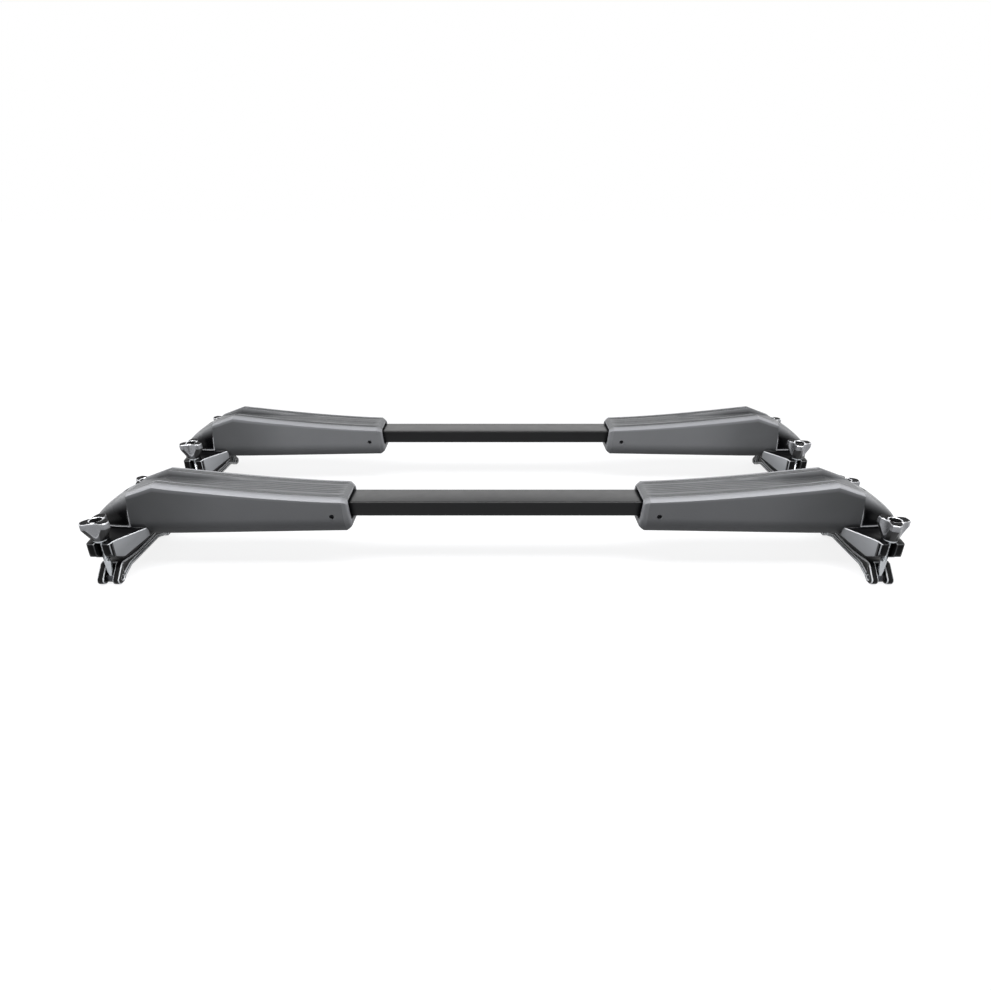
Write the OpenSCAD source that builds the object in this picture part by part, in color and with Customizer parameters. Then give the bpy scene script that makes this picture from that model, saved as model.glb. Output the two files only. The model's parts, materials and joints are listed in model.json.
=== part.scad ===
// Surfboard roof carrier: two cross units, each a centre bar with two padded arms.
// An arm slides on the bar and ends in a screw clamp for a car's own crossbar.
// X runs along the bars, Y from the front unit to the rear one, Z up.
// Arm pieces are drawn with x outward from the carrier's middle and z = 0 at the bar's top.

/* [Centre bar] */
// Width of the centre bar, front to back
bar_w = 40; // [34:0.5:44]
// Height of the centre bar
bar_h = 20; // [16:0.5:22]
// Wall of the centre bar's tube
bar_wall = 2; // [1.5:0.1:3]
// Corner radius of the centre bar
bar_r = 2.5; // [1:0.1:4]
// Half the length of the centre bar
bar_half = 272; // [262:1:300]
// Distance between the two cross units, middle to middle
unit_pitch = 267.5; // [250:0.5:900]

/* [Arm tube] */
// Sliding gap between the centre bar and the arm tube, each side
slide_gap = 0.5; // [0.2:0.1:0.8]
// Wall of the arm tube
arm_wall = 2.5; // [1.5:0.1:3.5]
// Outward position of the arm tube's mouth
arm_mouth_x = 187; // [185:0.5:200]
// Outward position of the arm tube's outer end
arm_end_x = 451; // [444:0.5:452]
// Diameter of the boss for the lock screw
boss_d = 12; // [10:0.5:14]
// Height of that boss
boss_t = 3.5; // [2:0.1:4.5]
// Outward position of the lock screw
lock_x = 204; // [198:0.5:230]

/* [Set screws] */
// Diameter of a set screw
screw_d = 6; // [5:0.5:6]
// Length of a set screw
screw_len = 8; // [6:0.5:9]
// Size of the hexagon socket across its flats
socket_af = 3; // [2:0.5:3]
// Depth of the hexagon socket
socket_t = 3.5; // [2:0.1:4]
// Radial clearance of the set screws in their holes
screw_gap = 0.05; // [0.02:0.01:0.1]
// Diameter of the key hole in the pad
key_hole_d = 6.4; // [6.2:0.1:8]

/* [Pad] */
// Outward position of the pad's inner end, at its top
pad_in_x = 184; // [182:0.5:186]
// How far the pad's inner end leans toward the middle at its foot
pad_in_lean = 4; // [0:0.5:5]
// Outward position of the highest point of the pad
pad_peak_x = 420; // [400:1:428]
// Outward position of the step under the pad, where the upper jaw begins
pad_step_x = 437; // [434:0.5:440]
// Outward position of the pad's outer end, at its top
pad_out_x = 455; // [453:0.5:457]
// Width of the pad, front to back
pad_w = 66; // [60:0.5:72]
// Height of the pad's top above the bar at its inner end
pad_top_in = 8.2; // [7:0.1:12]
// Height of the pad's top above the bar at its highest point
pad_top_peak = 28.2; // [24:0.1:32]
// Height of the pad's top above the bar at its outer end
pad_top_out = 15.5; // [12:0.1:18]
// Depth of the pad's foot below the bar's top at its inner end
pad_foot_in = 36; // [32:0.5:38]
// Depth of the pad's foot at the step
pad_foot_step = 40.6; // [38:0.1:41]
// Rounding of the pad's upper long edges
pad_top_r = 8; // [4:0.5:10]
// Rounding of the pad's lower long edges
pad_foot_r = 5; // [2:0.5:6]
// Rounding of the pad's inner end
pad_end_r = 8; // [4:0.5:10]
// Deepest point of the strap channel in the pad's top
channel_t = 6.5; // [2:0.5:9]
// Outward position of the strap channel's shallow end
channel_in_x = 285; // [200:1:330]
// Half the width of the strap channel
channel_half = 17; // [10:0.5:20]
// Gap between the pad and the arm tube
pad_gap = 0.3; // [0.2:0.1:0.5]

/* [Hood] */
// Depth of the hood's foot below the bar's top
hood_foot = 29; // [27:0.5:30]
// Width of the hood at the pad
hood_w = 62; // [56:0.5:64]
// Length of the hood, from the pad's outer end to its tip
hood_len = 59; // [53:0.5:65]
// Wall of the hood
hood_wall = 2.4; // [1.6:0.1:3]
// Step down from the pad's top to the hood
hood_step = 2; // [0.5:0.1:4]
// Length of the slot in the hood's top, front to back
hood_slot_len = 7; // [5:0.5:12]
// Width of that slot
hood_slot_w = 3.6; // [2:0.1:3.8]
// Distance of that slot from the pad's outer end
hood_slot_from = 12; // [7:0.5:15]

/* [Upper jaw] */
// Outward position of the clamp's middle
clamp_x = 479; // [477:0.5:480]
// Distance of each clamp bolt from the unit's middle plane
bolt_y = 60.5; // [59:0.5:62]
// Width of the upper jaw's forked ends
fork_w = 30; // [28:0.5:32]
// How far the fork's tips reach beyond the bolts
fork_reach = 10; // [8:0.5:11]
// Reach of the upper jaw's middle inward from the clamp's middle
jaw_in_reach = 41.5; // [37:0.5:42]
// Reach of the upper jaw's middle outward from the clamp's middle
jaw_out_reach = 29; // [23:0.5:31]
// Half the length of the wide middle of the upper jaw
jaw_mid_half = 28; // [24:1:34]
// Depth of the upper jaw's top below the bar's top
jaw_top = 31.2; // [30.2:0.2:33]
// Depth of the fork tips' undersides
fork_foot = 46.5; // [44:0.5:50]
// Depth of the arch's feet
arch_foot = 56.6; // [53:0.2:57]
// Depth of the arch's crown
arch_crown = 43.6; // [42:0.2:46]
// Relief of the fork tips, so that the washers can swing away
tip_relief = 1.3; // [1.2:0.1:1.6]
// Gap round the bolts in their slots
bolt_gap = 0.6; // [0.4:0.1:1]
// Gap round the jaw's tongue in the arm tube
tongue_gap = 0.2; // [0.1:0.05:0.3]
// Outward position of the tongue's inner end
tongue_in_x = 424; // [418:1:428]
// Reach of the pedestal beyond the clamp's middle
pedestal_reach = 7; // [-3:1:9]

/* [Saddle] */
// Thickness of the rubber saddle
saddle_t = 2.2; // [1.5:0.1:2.5]

/* [Lower jaw] */
// Width of the lower jaw, along the bars
low_w = 27; // [25:0.5:29]
// Width of the slot in the lower jaw's forked ends
low_slot_w = 11; // [10.5:0.5:12]
// Depth of the pins below the bar's top
pin_z = 85; // [84:0.5:86]
// Distance of the lower jaw's rounded tips from the unit's middle plane
low_tip_y = 65; // [64:0.5:67]
// Radius of the lower jaw's tips
low_end_r = 6; // [5.5:0.1:7]
// Depth of the lower jaw's top at the middle
low_top_mid = 71; // [69.5:0.5:72]
// Depth of the lower jaw's top at its shoulders
low_top_end = 67; // [66:0.5:69]
// Depth of the lower jaw's foot at the middle
low_foot_mid = 81; // [79:0.5:83]
// Distance of the shoulders from the unit's middle plane
low_shoulder_y = 52; // [48:0.5:54]
// Depth of the recesses in the lower jaw's sides
recess_t = 3; // [1:0.2:4]

/* [Bolts and knobs] */
// Diameter of the clamp bolts
bolt_d = 8; // [7:0.5:8]
// Diameter of the jaw pins
pin_d = 6; // [5:0.5:6]
// Running clearance of the pins, threads and washers, radial
run_gap = 0.05; // [0.03:0.01:0.09]
// Outside diameter of a bolt's eye
eye_d = 11.4; // [10:0.2:11.8]
// Thickness of a bolt's eye
eye_t = 9.6; // [8:0.2:10]
// Depth of the bolts' tips below the bar's top
bolt_tip_z = 12; // [11:0.5:14]
// Diameter of a washer
washer_d = 18; // [16:0.5:20]
// Thickness of a washer
washer_t = 2; // [1.5:0.1:2.5]
// Diameter round the knob's three lobes
knob_d = 36.5; // [35:0.5:40]
// Height of a knob
knob_h = 25; // [24:0.5:28]
// Radius of each lobe's end
lobe_r = 6.5; // [5.5:0.5:8]
// Diameter of a knob's foot
knob_foot_d = 18; // [16:0.5:20]
// Diameter of the recess in a knob's top
hub_d = 14; // [11:0.5:16]
// Depth of that recess
hub_t = 3; // [1:0.2:5]
// Turn of the left arms' knobs
knob_turn_left = 114; // [0:1:360]
// Turn of the right arms' knobs
knob_turn_right = 38; // [0:1:360]

/* [Hidden] */
units = ["front", "rear"];
sides = ["left", "right"];
arm_pieces = [
    "arm_tube", "pad", "hood", "upper_jaw", "saddle", "lower_jaw", "jaw_pins",
    "bolt_fore", "bolt_aft", "washer_fore", "washer_aft", "knob_fore", "knob_aft", "arm_screws"
];

// Facets of a full circle that matters, and of a hull's corner
round_fn = 48;
hull_fn = 24;
// Reach of a cutting tool past the face that it cuts
past = 1;

// Height of the bar's top over the ground
lift = pin_z + low_end_r;

// Arm tube
arm_in_w = bar_w + 2 * slide_gap;
arm_in_h = bar_h + 2 * slide_gap;
arm_out_w = arm_in_w + 2 * arm_wall;
arm_out_h = arm_in_h + 2 * arm_wall;
arm_in_r = 1.5;
arm_out_r = 3;
arm_mid_z = -bar_h / 2;
arm_face_y = arm_out_w / 2;
boss_y = arm_face_y + boss_t;
lock_z = arm_mid_z - 4.5;

// Bar plugs
plug_fit = 0.1;
plug_deep = 18;
plug_flange = 3;
plug_web = 2.2;

// Set screws
lock_tip_y = bar_w / 2 + 0.2;
tongue_screw_x = (tongue_in_x + arm_end_x) / 2;
tongue_w = arm_in_w - 2 * tongue_gap;
tongue_h = arm_in_h - 2 * tongue_gap;

// Pad
pad_half = pad_w / 2;
pad_len = pad_out_x - pad_in_x;
pad_past = 20;
pad_out_lean = 4;
pad_stations = 26;
pad_corner_steps = 4;
pad_channel_steps = 8;
pad_boss_gap = 0.4;

// Hood
hood_tip_x = pad_out_x + hood_len;
hood_slot_x = pad_out_x + hood_slot_from;

// Upper jaw
jaw_in_x = clamp_x - jaw_in_reach;
jaw_out_x = clamp_x + jaw_out_reach;
pedestal_out_x = clamp_x + pedestal_reach;
fork_half = fork_w / 2;
fork_tip_y = bolt_y + fork_reach;
fork_flare_y = bolt_y + 5;
fork_r = 4;
fork_chin = 4.5;
arch_foot_len = 2;
arch_foot_y = bolt_y - 4.5;
jaw_arch_half = 29;
pedestal_half = 21;
pedestal_in_x = pad_step_x + 2;
pedestal_block = 22;
plinth_inset = 1.5;
pedestal_top = 8;
slot_r = bolt_d / 2 + bolt_gap;

// Lower jaw
low_half = low_w / 2;
low_foot_y = 36;
low_foot_len = 5;
pin_len = low_w - 3;
low_top_flat = 20;
low_slot_end = bolt_y - eye_d / 2 - 1.5;
recess_lip = 2.6;

// Bolts and knobs
washer_z = -jaw_top;
knob_z = washer_z + washer_t;
lobe_y = knob_d / 2 - lobe_r;
scallop_r = 17;
scallop_y = knob_d / 2 + scallop_r - 8;

// Outline helpers

// A rectangle with rounded corners, as a list of points
function rounded_points(w, h, r, steps) = [
    for (corner = [0 : 3]) for (i = [0 : steps])
        let (a = 90 * corner + 90 * i / steps,
             sx = (corner == 0 || corner == 3) ? 1 : -1,
             sy = corner < 2 ? 1 : -1)
        [sx * (w / 2 - r) + r * cos(a), sy * (h / 2 - r) + r * sin(a)]
];

// Points of an arc about a centre, from one angle to another
function arc_points(centre, r, from, to, steps) = [
    for (i = [0 : steps])
        let (a = from + (to - from) * i / steps)
        centre + r * [cos(a), sin(a)]
];

// Points on one side of the unit's middle plane, then their mirror images
function both_sides(half) = concat(
    half,
    [for (i = [len(half) - 1 : -1 : 0]) [-half[i][0], half[i][1]]]
);

// Closed skin through equal rings of points, with flat ends
module skin(rings) {
    n = len(rings[0]);
    last = len(rings) - 1;
    sides_list = [
        for (i = [0 : last - 1]) for (j = [0 : n - 1])
            let (k = (j + 1) % n)
            each [[i * n + j, i * n + k, (i + 1) * n + j],
                  [i * n + k, (i + 1) * n + k, (i + 1) * n + j]]
    ];
    first_end = [for (j = [n - 1 : -1 : 0]) j];
    last_end = [for (j = [0 : n - 1]) last * n + j];
    polyhedron([for (ring = rings) each ring], concat([first_end], sides_list, [last_end]), convexity = 6);
}

// A profile drawn with y and z, carried along x
module along_x(from, to) {
    translate([from, 0, 0]) rotate([90, 0, 90]) linear_extrude(to - from) children();
}

// Places arm pieces: the left arms are mirrored
module at_arm(unit, side) {
    translate([0, (unit == "front" ? -1 : 1) * unit_pitch / 2, lift])
        mirror([side == "left" ? 1 : 0, 0, 0]) children();
}

// Fore pieces lie at minus y, aft pieces are their mirror images
module at_end(end) {
    mirror([0, end == "aft" ? 1 : 0, 0]) children();
}

// Centre bar

module centre_bar() {
    color("#232427")
        along_x(-bar_half, bar_half) translate([0, arm_mid_z]) difference() {
            polygon(rounded_points(bar_w, bar_h, bar_r, 5));
            polygon(rounded_points(bar_w - 2 * bar_wall, bar_h - 2 * bar_wall, max(bar_r - bar_wall, 0.3), 5));
        }
}

module bar_plug() {
    in_w = bar_w - 2 * bar_wall - 2 * plug_fit;
    in_h = bar_h - 2 * bar_wall - 2 * plug_fit;
    along_x(bar_half, bar_half + plug_flange) translate([0, arm_mid_z])
        polygon(rounded_points(bar_w, bar_h, bar_r, 5));
    along_x(bar_half - plug_deep, bar_half) translate([0, arm_mid_z]) difference() {
        polygon(rounded_points(in_w, in_h, 0.6, 3));
        polygon(rounded_points(in_w - 2 * plug_web, in_h - 2 * plug_web, 0.6, 3));
    }
}

module bar_plugs() {
    color("#1a1a1c") {
        bar_plug();
        mirror([1, 0, 0]) bar_plug();
    }
}

// Arm tube and its screws

module screw_hole(len, d) {
    rotate([90, 0, 0]) cylinder(h = len, d = d, $fn = round_fn);
}

module arm_tube() {
    color("#2b2c2f") difference() {
        union() {
            along_x(arm_mouth_x, arm_end_x) translate([0, arm_mid_z]) difference() {
                polygon(rounded_points(arm_out_w, arm_out_h, arm_out_r, 5));
                polygon(rounded_points(arm_in_w, arm_in_h, arm_in_r, 5));
            }
            translate([lock_x, -arm_in_w / 2 - arm_wall / 2, lock_z])
                screw_hole(boss_t + arm_wall / 2, boss_d);
        }
        translate([lock_x, -arm_in_w / 2 + past, lock_z])
            screw_hole(arm_wall + boss_t + 2 * past, screw_d + 2 * screw_gap);
        for (end = [-1, 1])
            translate([tongue_screw_x, end * arm_face_y + (end > 0 ? past : arm_wall + past), arm_mid_z])
                screw_hole(arm_wall + 2 * past, screw_d + 2 * screw_gap);
    }
}

// Set screw with its tip at the origin and its socket toward minus y
module set_screw() {
    difference() {
        rotate([90, 0, 0]) cylinder(h = screw_len, d = screw_d, $fn = round_fn);
        translate([0, -screw_len + socket_t, 0]) rotate([90, 0, 0])
            cylinder(h = socket_t + past, d = socket_af / cos(30), $fn = 6);
    }
}

module arm_screws() {
    color("#8d9196") {
        translate([lock_x, -lock_tip_y, lock_z]) set_screw();
        for (end = ["fore", "aft"]) at_end(end)
            translate([tongue_screw_x, screw_len - arm_face_y, arm_mid_z]) set_screw();
    }
}

// Pad

// Height of the pad's top: a rising curve to the peak, then a straight chamfer
function pad_top(x) = x < pad_peak_x
    ? pad_top_in + (pad_top_peak - pad_top_in) * pow(max(x - pad_in_x, 0) / (pad_peak_x - pad_in_x), 1.45)
    : pad_top_peak - (pad_top_peak - pad_top_out) * (x - pad_peak_x) / (pad_out_x - pad_peak_x);

// Height of the pad's foot: nearly straight
function pad_foot(x) =
    -pad_foot_in - (pad_foot_step - pad_foot_in) * (x - pad_in_x) / (pad_step_x - pad_in_x);

// Depth of the strap channel: grows toward the peak, then runs out down the chamfer
function channel_depth(x) = x < pad_peak_x
    ? channel_t * max(x - channel_in_x, 0) / (pad_peak_x - channel_in_x)
    : channel_t * pow((pad_out_x - x) / (pad_out_x - pad_peak_x), 0.8);

// Inset of a section near the pad's rounded inner end
function end_inset(x) = let (d = max(pad_end_r - (x - pad_in_x), 0)) pad_end_r - sqrt(pad_end_r * pad_end_r - d * d);

// Section of the pad at x, as a ring of points, leaning with height at both ends
function pad_ring(x, lean) = let (
        inset = end_inset(x),
        half = pad_half - inset,
        top = pad_top(x) - inset,
        foot = pad_foot(x) + inset,
        depth = channel_depth(x),
        rt = pad_top_r - inset / 2,
        rf = pad_foot_r,
        flat_half = half - rt,
        profile = concat(
            [for (p = arc_points([-half + rf, foot + rf], rf, 270, 180, pad_corner_steps)) p],
            [for (p = arc_points([-half + rt, top - rt], rt, 180, 90, pad_corner_steps)) p],
            [for (i = [1 : pad_channel_steps - 1])
                let (y = -flat_half + 2 * flat_half * i / pad_channel_steps,
                     dip = abs(y) < channel_half ? (1 + cos(180 * y / channel_half)) / 2 : 0)
                [y, top - depth * dip]],
            [for (p = arc_points([half - rt, top - rt], rt, 90, 0, pad_corner_steps)) p],
            [for (p = arc_points([half - rf, foot + rf], rf, 0, -90, pad_corner_steps)) p]
        ))
    [for (p = profile) [x + lean * (p[1] - top) / (top - foot), p[0], p[1]]];

// Stations: close together at the rounded end, then even, with one on the peak
pad_xs = concat(
    [for (i = [0 : 4]) pad_in_x + pad_end_r * (1 - cos(90 * i / 4))],
    [for (i = [1 : pad_stations - 12]) pad_in_x + pad_end_r + (pad_peak_x - pad_in_x - pad_end_r) * i / (pad_stations - 12)],
    [for (i = [1 : 4]) pad_peak_x + (pad_out_x - pad_peak_x) * i / 4]
);

module pad_body() {
    skin([for (x = pad_xs)
        let (t = (x - pad_in_x) / (pad_out_x - pad_in_x),
             lean = pad_in_lean * max(1 - 8 * t, 0) - pad_out_lean * max(8 * t - 7, 0))
        pad_ring(x, lean)]);
}

module pad() {
    color("#5f6164") difference() {
        pad_body();
        // Cavity for the arm tube and mouth for the bar
        translate([pad_in_x - pad_past, -arm_face_y - pad_gap, arm_mid_z - arm_out_h / 2 - pad_gap])
            cube([pad_len + 2 * pad_past, arm_out_w + 2 * pad_gap, arm_out_h + 2 * pad_gap]);
        // Pocket for the lock screw's boss, and the key hole
        translate([lock_x, -arm_face_y + past, lock_z])
            screw_hole(boss_t + pad_boss_gap + past, boss_d + 2 * pad_boss_gap);
        translate([lock_x, -arm_face_y, lock_z]) screw_hole(pad_half, key_hole_d);
        // Room for the jaw's pedestal
        translate([pedestal_in_x - pad_gap, -pedestal_half - pad_gap, -pad_foot_step])
            cube([pad_len, 2 * (pedestal_half + pad_gap), pad_foot_step + arm_mid_z]);
        // Step over the upper jaw
        translate([pad_step_x, -pad_half - past, -pad_foot_step - past])
            cube([pad_len, pad_w + 2 * past, pad_foot_step + past - hood_foot]);
    }
}

// Hood

// Height of the hood's top at x: falls from the pad's end to the hood's foot at the tip
function hood_top(x) = let (t = (x - pad_out_x) / (hood_tip_x - pad_out_x))
    -hood_foot + (pad_top_out - hood_step + hood_foot) * pow(max(1 - pow(t, 1.35), 0), 0.85);

// Half width of the hood at x: full at the pad, closing round at the tip
function hood_half(x) = let (t = (x - pad_out_x) / (hood_tip_x - pad_out_x))
    hood_w / 2 * pow(max(1 - pow(t, 2.6), 0), 0.5);

// Arched section of the hood, with its foot at the jaw's top
function hood_ring(x, half, top, foot, steps) = [
    for (i = [0 : steps])
        let (a = 180 * i / steps,
             across = -cos(a),
             rise = i == 0 || i == steps ? 0 : sin(a))
        [x, half * sign(across) * pow(abs(across), 0.62), foot + (top - foot) * pow(rise, 0.62)]
];

// The hood's form, drawn in by the given wall, from the pad's end on
module hood_form(inset, from) {
    stations = 12;
    reach = hood_tip_x - 0.6 - inset - from;
    rings = [
        for (i = [0 : stations])
            let (u = 1 - pow(1 - i / stations, 1.7),
                 x = from + reach * u,
                 x_out = min(x + (x > pad_out_x + 5 ? inset * 0.35 * u : 0), hood_tip_x - 0.3))
            hood_ring(x, max(hood_half(max(x_out, pad_out_x)) - inset, 0.5),
                max(hood_top(max(x_out, pad_out_x)) - inset, -hood_foot + 0.5),
                -hood_foot - (inset > 0 ? past : 0), 16)
    ];
    skin(rings);
}

module hood() {
    color("#141416") difference() {
        hood_form(0, pad_out_x + 0.2);
        hood_form(hood_wall, pad_out_x - 10);
        // Slot near the pad
        translate([hood_slot_x, -hood_slot_len / 2, -5]) cube([hood_slot_w, hood_slot_len, 40]);
        // The pad's leaning end face
        rotate([90, 0, 0]) linear_extrude(2 * pad_w, center = true)
            polygon([
                [pad_out_x - 20, pad_top_out + 5],
                [pad_out_x + 0.2, pad_top_out + 5],
                [pad_out_x + 0.2, pad_top_out],
                [pad_out_x + pad_out_lean + 0.4, -pad_foot_step],
                [pad_out_x - 20, -pad_foot_step]
            ]);
    }
}

// Upper jaw and saddle

// Plan of the upper jaw, as half of an outline drawn with y outward and x
function jaw_plan() = let (
        tip = fork_tip_y - fork_r,
        inner = clamp_x - fork_half,
        outer = clamp_x + fork_half,
        half = concat(
            [[0, jaw_in_x], [jaw_mid_half, jaw_in_x], [fork_flare_y, inner]],
            arc_points([tip, inner + fork_r], fork_r, -90, 0, 5),
            arc_points([tip, outer - fork_r], fork_r, 0, 90, 5),
            [[fork_flare_y - 8, outer], [jaw_mid_half, jaw_out_x], [0, jaw_out_x]]
        ))
    concat(
        [for (p = half) [p[1], p[0]]],
        [for (i = [len(half) - 2 : -1 : 1]) [half[i][1], -half[i][0]]]
    );

// Plan of the plinth: the hood's outline, drawn in
function plinth_plan() = let (
        xs = [for (i = [0 : 9]) pad_out_x + (hood_tip_x - pad_out_x - plinth_inset - 1) * (1 - pow(1 - i / 9, 2))],
        side = concat(
            [[pad_step_x + 1, hood_w / 2 - plinth_inset]],
            [for (x = xs) [x, max(hood_half(x + plinth_inset) - plinth_inset, 2)]]
        ))
    concat(side, [for (i = [len(side) - 1 : -1 : 0]) [side[i][0], -side[i][1]]]);

// Underside of the arch, from the middle outward, at a depth below it
function arch_line(deeper) = [
    [jaw_arch_half, -arch_crown - deeper],
    [arch_foot_y, -arch_foot - deeper]
];

module jaw_block(z_low, z_high) {
    translate([0, 0, z_low]) linear_extrude(z_high - z_low) polygon(jaw_plan());
}

module upper_jaw() {
    color("#303134") difference() {
        union() {
            intersection() {
                jaw_block(-arch_foot - past, -jaw_top);
                along_x(jaw_in_x - past, jaw_out_x + past) polygon(both_sides([
                    [bolt_y, -jaw_top],
                    [fork_tip_y, -jaw_top - tip_relief],
                    [fork_tip_y, -fork_foot],
                    [fork_tip_y - fork_chin / 2, -fork_foot - fork_chin],
                    [arch_foot_y + arch_foot_len, -arch_foot],
                    arch_line(0)[1],
                    arch_line(0)[0]
                ]));
            }
            // Plinth under the pad's end and the hood
            translate([0, 0, -jaw_top]) linear_extrude(jaw_top - hood_foot) polygon(plinth_plan());
            // Pedestal under and behind the arm tube
            translate([pedestal_in_x, -pedestal_half, -jaw_top])
                cube([pedestal_out_x - pedestal_in_x, 2 * pedestal_half, jaw_top - bar_h - slide_gap - arm_wall]);
            translate([arm_end_x, -tongue_w / 2, -jaw_top])
                cube([pedestal_block, tongue_w, jaw_top - pedestal_top]);
            // Tongue in the arm tube
            along_x(tongue_in_x, arm_end_x + past) translate([0, arm_mid_z])
                polygon(rounded_points(tongue_w, tongue_h, arm_in_r, 5));
        }
        // Bolt slots, open at the tips
        for (end = ["fore", "aft"]) at_end(end) {
            translate([clamp_x, -bolt_y, -arch_foot - past]) cylinder(h = arch_foot, r = slot_r, $fn = round_fn);
            translate([clamp_x - slot_r, -fork_tip_y - past, -arch_foot - past])
                cube([2 * slot_r, fork_reach + past, arch_foot]);
            translate([tongue_screw_x, -tongue_w / 2 - past, arm_mid_z])
                rotate([-90, 0, 0]) cylinder(h = screw_len - arm_wall + past, d = screw_d + 2 * screw_gap, $fn = round_fn);
        }
    }
}

module saddle() {
    color("#17171a") intersection() {
        jaw_block(-arch_foot - saddle_t - past, -jaw_top);
        along_x(jaw_in_x + 0.6, jaw_out_x - 0.6) polygon(both_sides([
            arch_line(0)[0],
            arch_line(0)[1],
            arch_line(saddle_t)[1],
            arch_line(saddle_t)[0]
        ]));
    }
}

// Lower jaw, its pins and the clamp bolts

// Side view of the lower jaw, drawn in by an inset
module low_profile(inset) {
    tip = [low_tip_y, -pin_z];
    polygon(both_sides(concat(
        [[low_top_flat, -low_top_mid - inset]],
        [[low_shoulder_y - inset, -low_top_end - inset], [low_shoulder_y + 4 - inset, -low_top_end - 1 - inset]],
        arc_points(tip, low_end_r - inset, 25, -90, 8),
        [[low_tip_y - low_foot_len, -pin_z - low_end_r + inset], [low_tip_y - 13, -pin_z - 1.5 + inset]],
        [[low_foot_y, -low_foot_mid + inset]]
    )));
}

module lower_jaw() {
    color("#1d1d1f") difference() {
        along_x(clamp_x - low_half, clamp_x + low_half) low_profile(0);
        for (end = ["fore", "aft"]) at_end(end) {
            // Slot for the bolt's eye
            translate([clamp_x - low_slot_w / 2, -bolt_y - 20, -pin_z - 20])
                cube([low_slot_w, bolt_y + 20 - low_slot_end, 60]);
            // Pin hole
            translate([clamp_x, -bolt_y, -pin_z]) rotate([0, 90, 0])
                cylinder(h = low_w + 2 * past, d = pin_d, center = true, $fn = round_fn);
        }
        // Recesses along both sides
        for (side_x = [clamp_x - low_half - past, clamp_x + low_half - recess_t])
            along_x(side_x, side_x + recess_t + past) recess_profile();
    }
}

module recess_profile() {
    intersection() {
        low_profile(recess_lip);
        square([2 * (bolt_y - pin_d / 2 - recess_lip), 3 * pin_z], center = true);
    }
}

module jaw_pins() {
    color("#3a3b3e") for (end = ["fore", "aft"]) at_end(end)
        translate([clamp_x, -bolt_y, -pin_z]) rotate([0, 90, 0])
            cylinder(h = pin_len, d = pin_d, center = true, $fn = round_fn);
}

module bolt() {
    color("#b9bcc0") translate([clamp_x, -bolt_y, 0]) difference() {
        union() {
            translate([0, 0, -pin_z]) cylinder(h = pin_z - bolt_tip_z, d = bolt_d, $fn = round_fn);
            translate([0, 0, -pin_z]) rotate([0, 90, 0])
                cylinder(h = eye_t, d = eye_d, center = true, $fn = round_fn);
        }
        translate([0, 0, -pin_z]) rotate([0, 90, 0])
            cylinder(h = eye_t + 2 * past, d = pin_d + 2 * run_gap, center = true, $fn = round_fn);
    }
}

module washer() {
    color("#9a9da1") translate([clamp_x, -bolt_y, washer_z]) difference() {
        cylinder(h = washer_t, d = washer_d, $fn = round_fn);
        translate([0, 0, -past]) cylinder(h = washer_t + 2 * past, d = bolt_d + 2 * run_gap, $fn = round_fn);
    }
}

module knob(turn) {
    color("#1b1b1d") translate([clamp_x, -bolt_y, knob_z]) rotate([0, 0, turn]) difference() {
        hull() {
            cylinder(h = 1, d = knob_foot_d, $fn = hull_fn);
            for (lobe = [0 : 2]) rotate([0, 0, 120 * lobe]) translate([0, lobe_y, 0]) {
                translate([0, 0, knob_h * 0.5]) cylinder(h = knob_h * 0.38, r = lobe_r, $fn = hull_fn);
                translate([0, 0, knob_h - 1.5]) cylinder(h = 1.5, r = lobe_r - 1.5, $fn = hull_fn);
            }
        }
        for (lobe = [0 : 2]) rotate([0, 0, 120 * lobe + 60]) translate([0, scallop_y, 3])
            cylinder(h = knob_h, r = scallop_r, $fn = round_fn);
        translate([0, 0, knob_h - hub_t]) cylinder(h = hub_t + past, d = hub_d, $fn = round_fn);
        translate([0, 0, -past]) cylinder(h = knob_h + 2 * past, d = bolt_d + 2 * run_gap, $fn = round_fn);
    }
}

// One arm piece by its name
module arm_piece(piece, side) {
    turn = side == "left" ? knob_turn_left : knob_turn_right;
    if (piece == "arm_tube") arm_tube();
    if (piece == "pad") pad();
    if (piece == "hood") hood();
    if (piece == "upper_jaw") upper_jaw();
    if (piece == "saddle") saddle();
    if (piece == "lower_jaw") lower_jaw();
    if (piece == "jaw_pins") jaw_pins();
    if (piece == "bolt_fore") bolt();
    if (piece == "bolt_aft") at_end("aft") bolt();
    if (piece == "washer_fore") washer();
    if (piece == "washer_aft") at_end("aft") washer();
    if (piece == "knob_fore") knob(turn);
    if (piece == "knob_aft") at_end("aft") knob(turn);
    if (piece == "arm_screws") arm_screws();
}

for (unit = units) {
    unit_y = (unit == "front" ? -1 : 1) * unit_pitch / 2;
    translate([0, unit_y, lift]) centre_bar();
    translate([0, unit_y, lift]) bar_plugs();
    for (side = sides) for (piece = arm_pieces)
        at_arm(unit, side) arm_piece(piece, side);
}
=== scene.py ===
import json
import math

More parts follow.
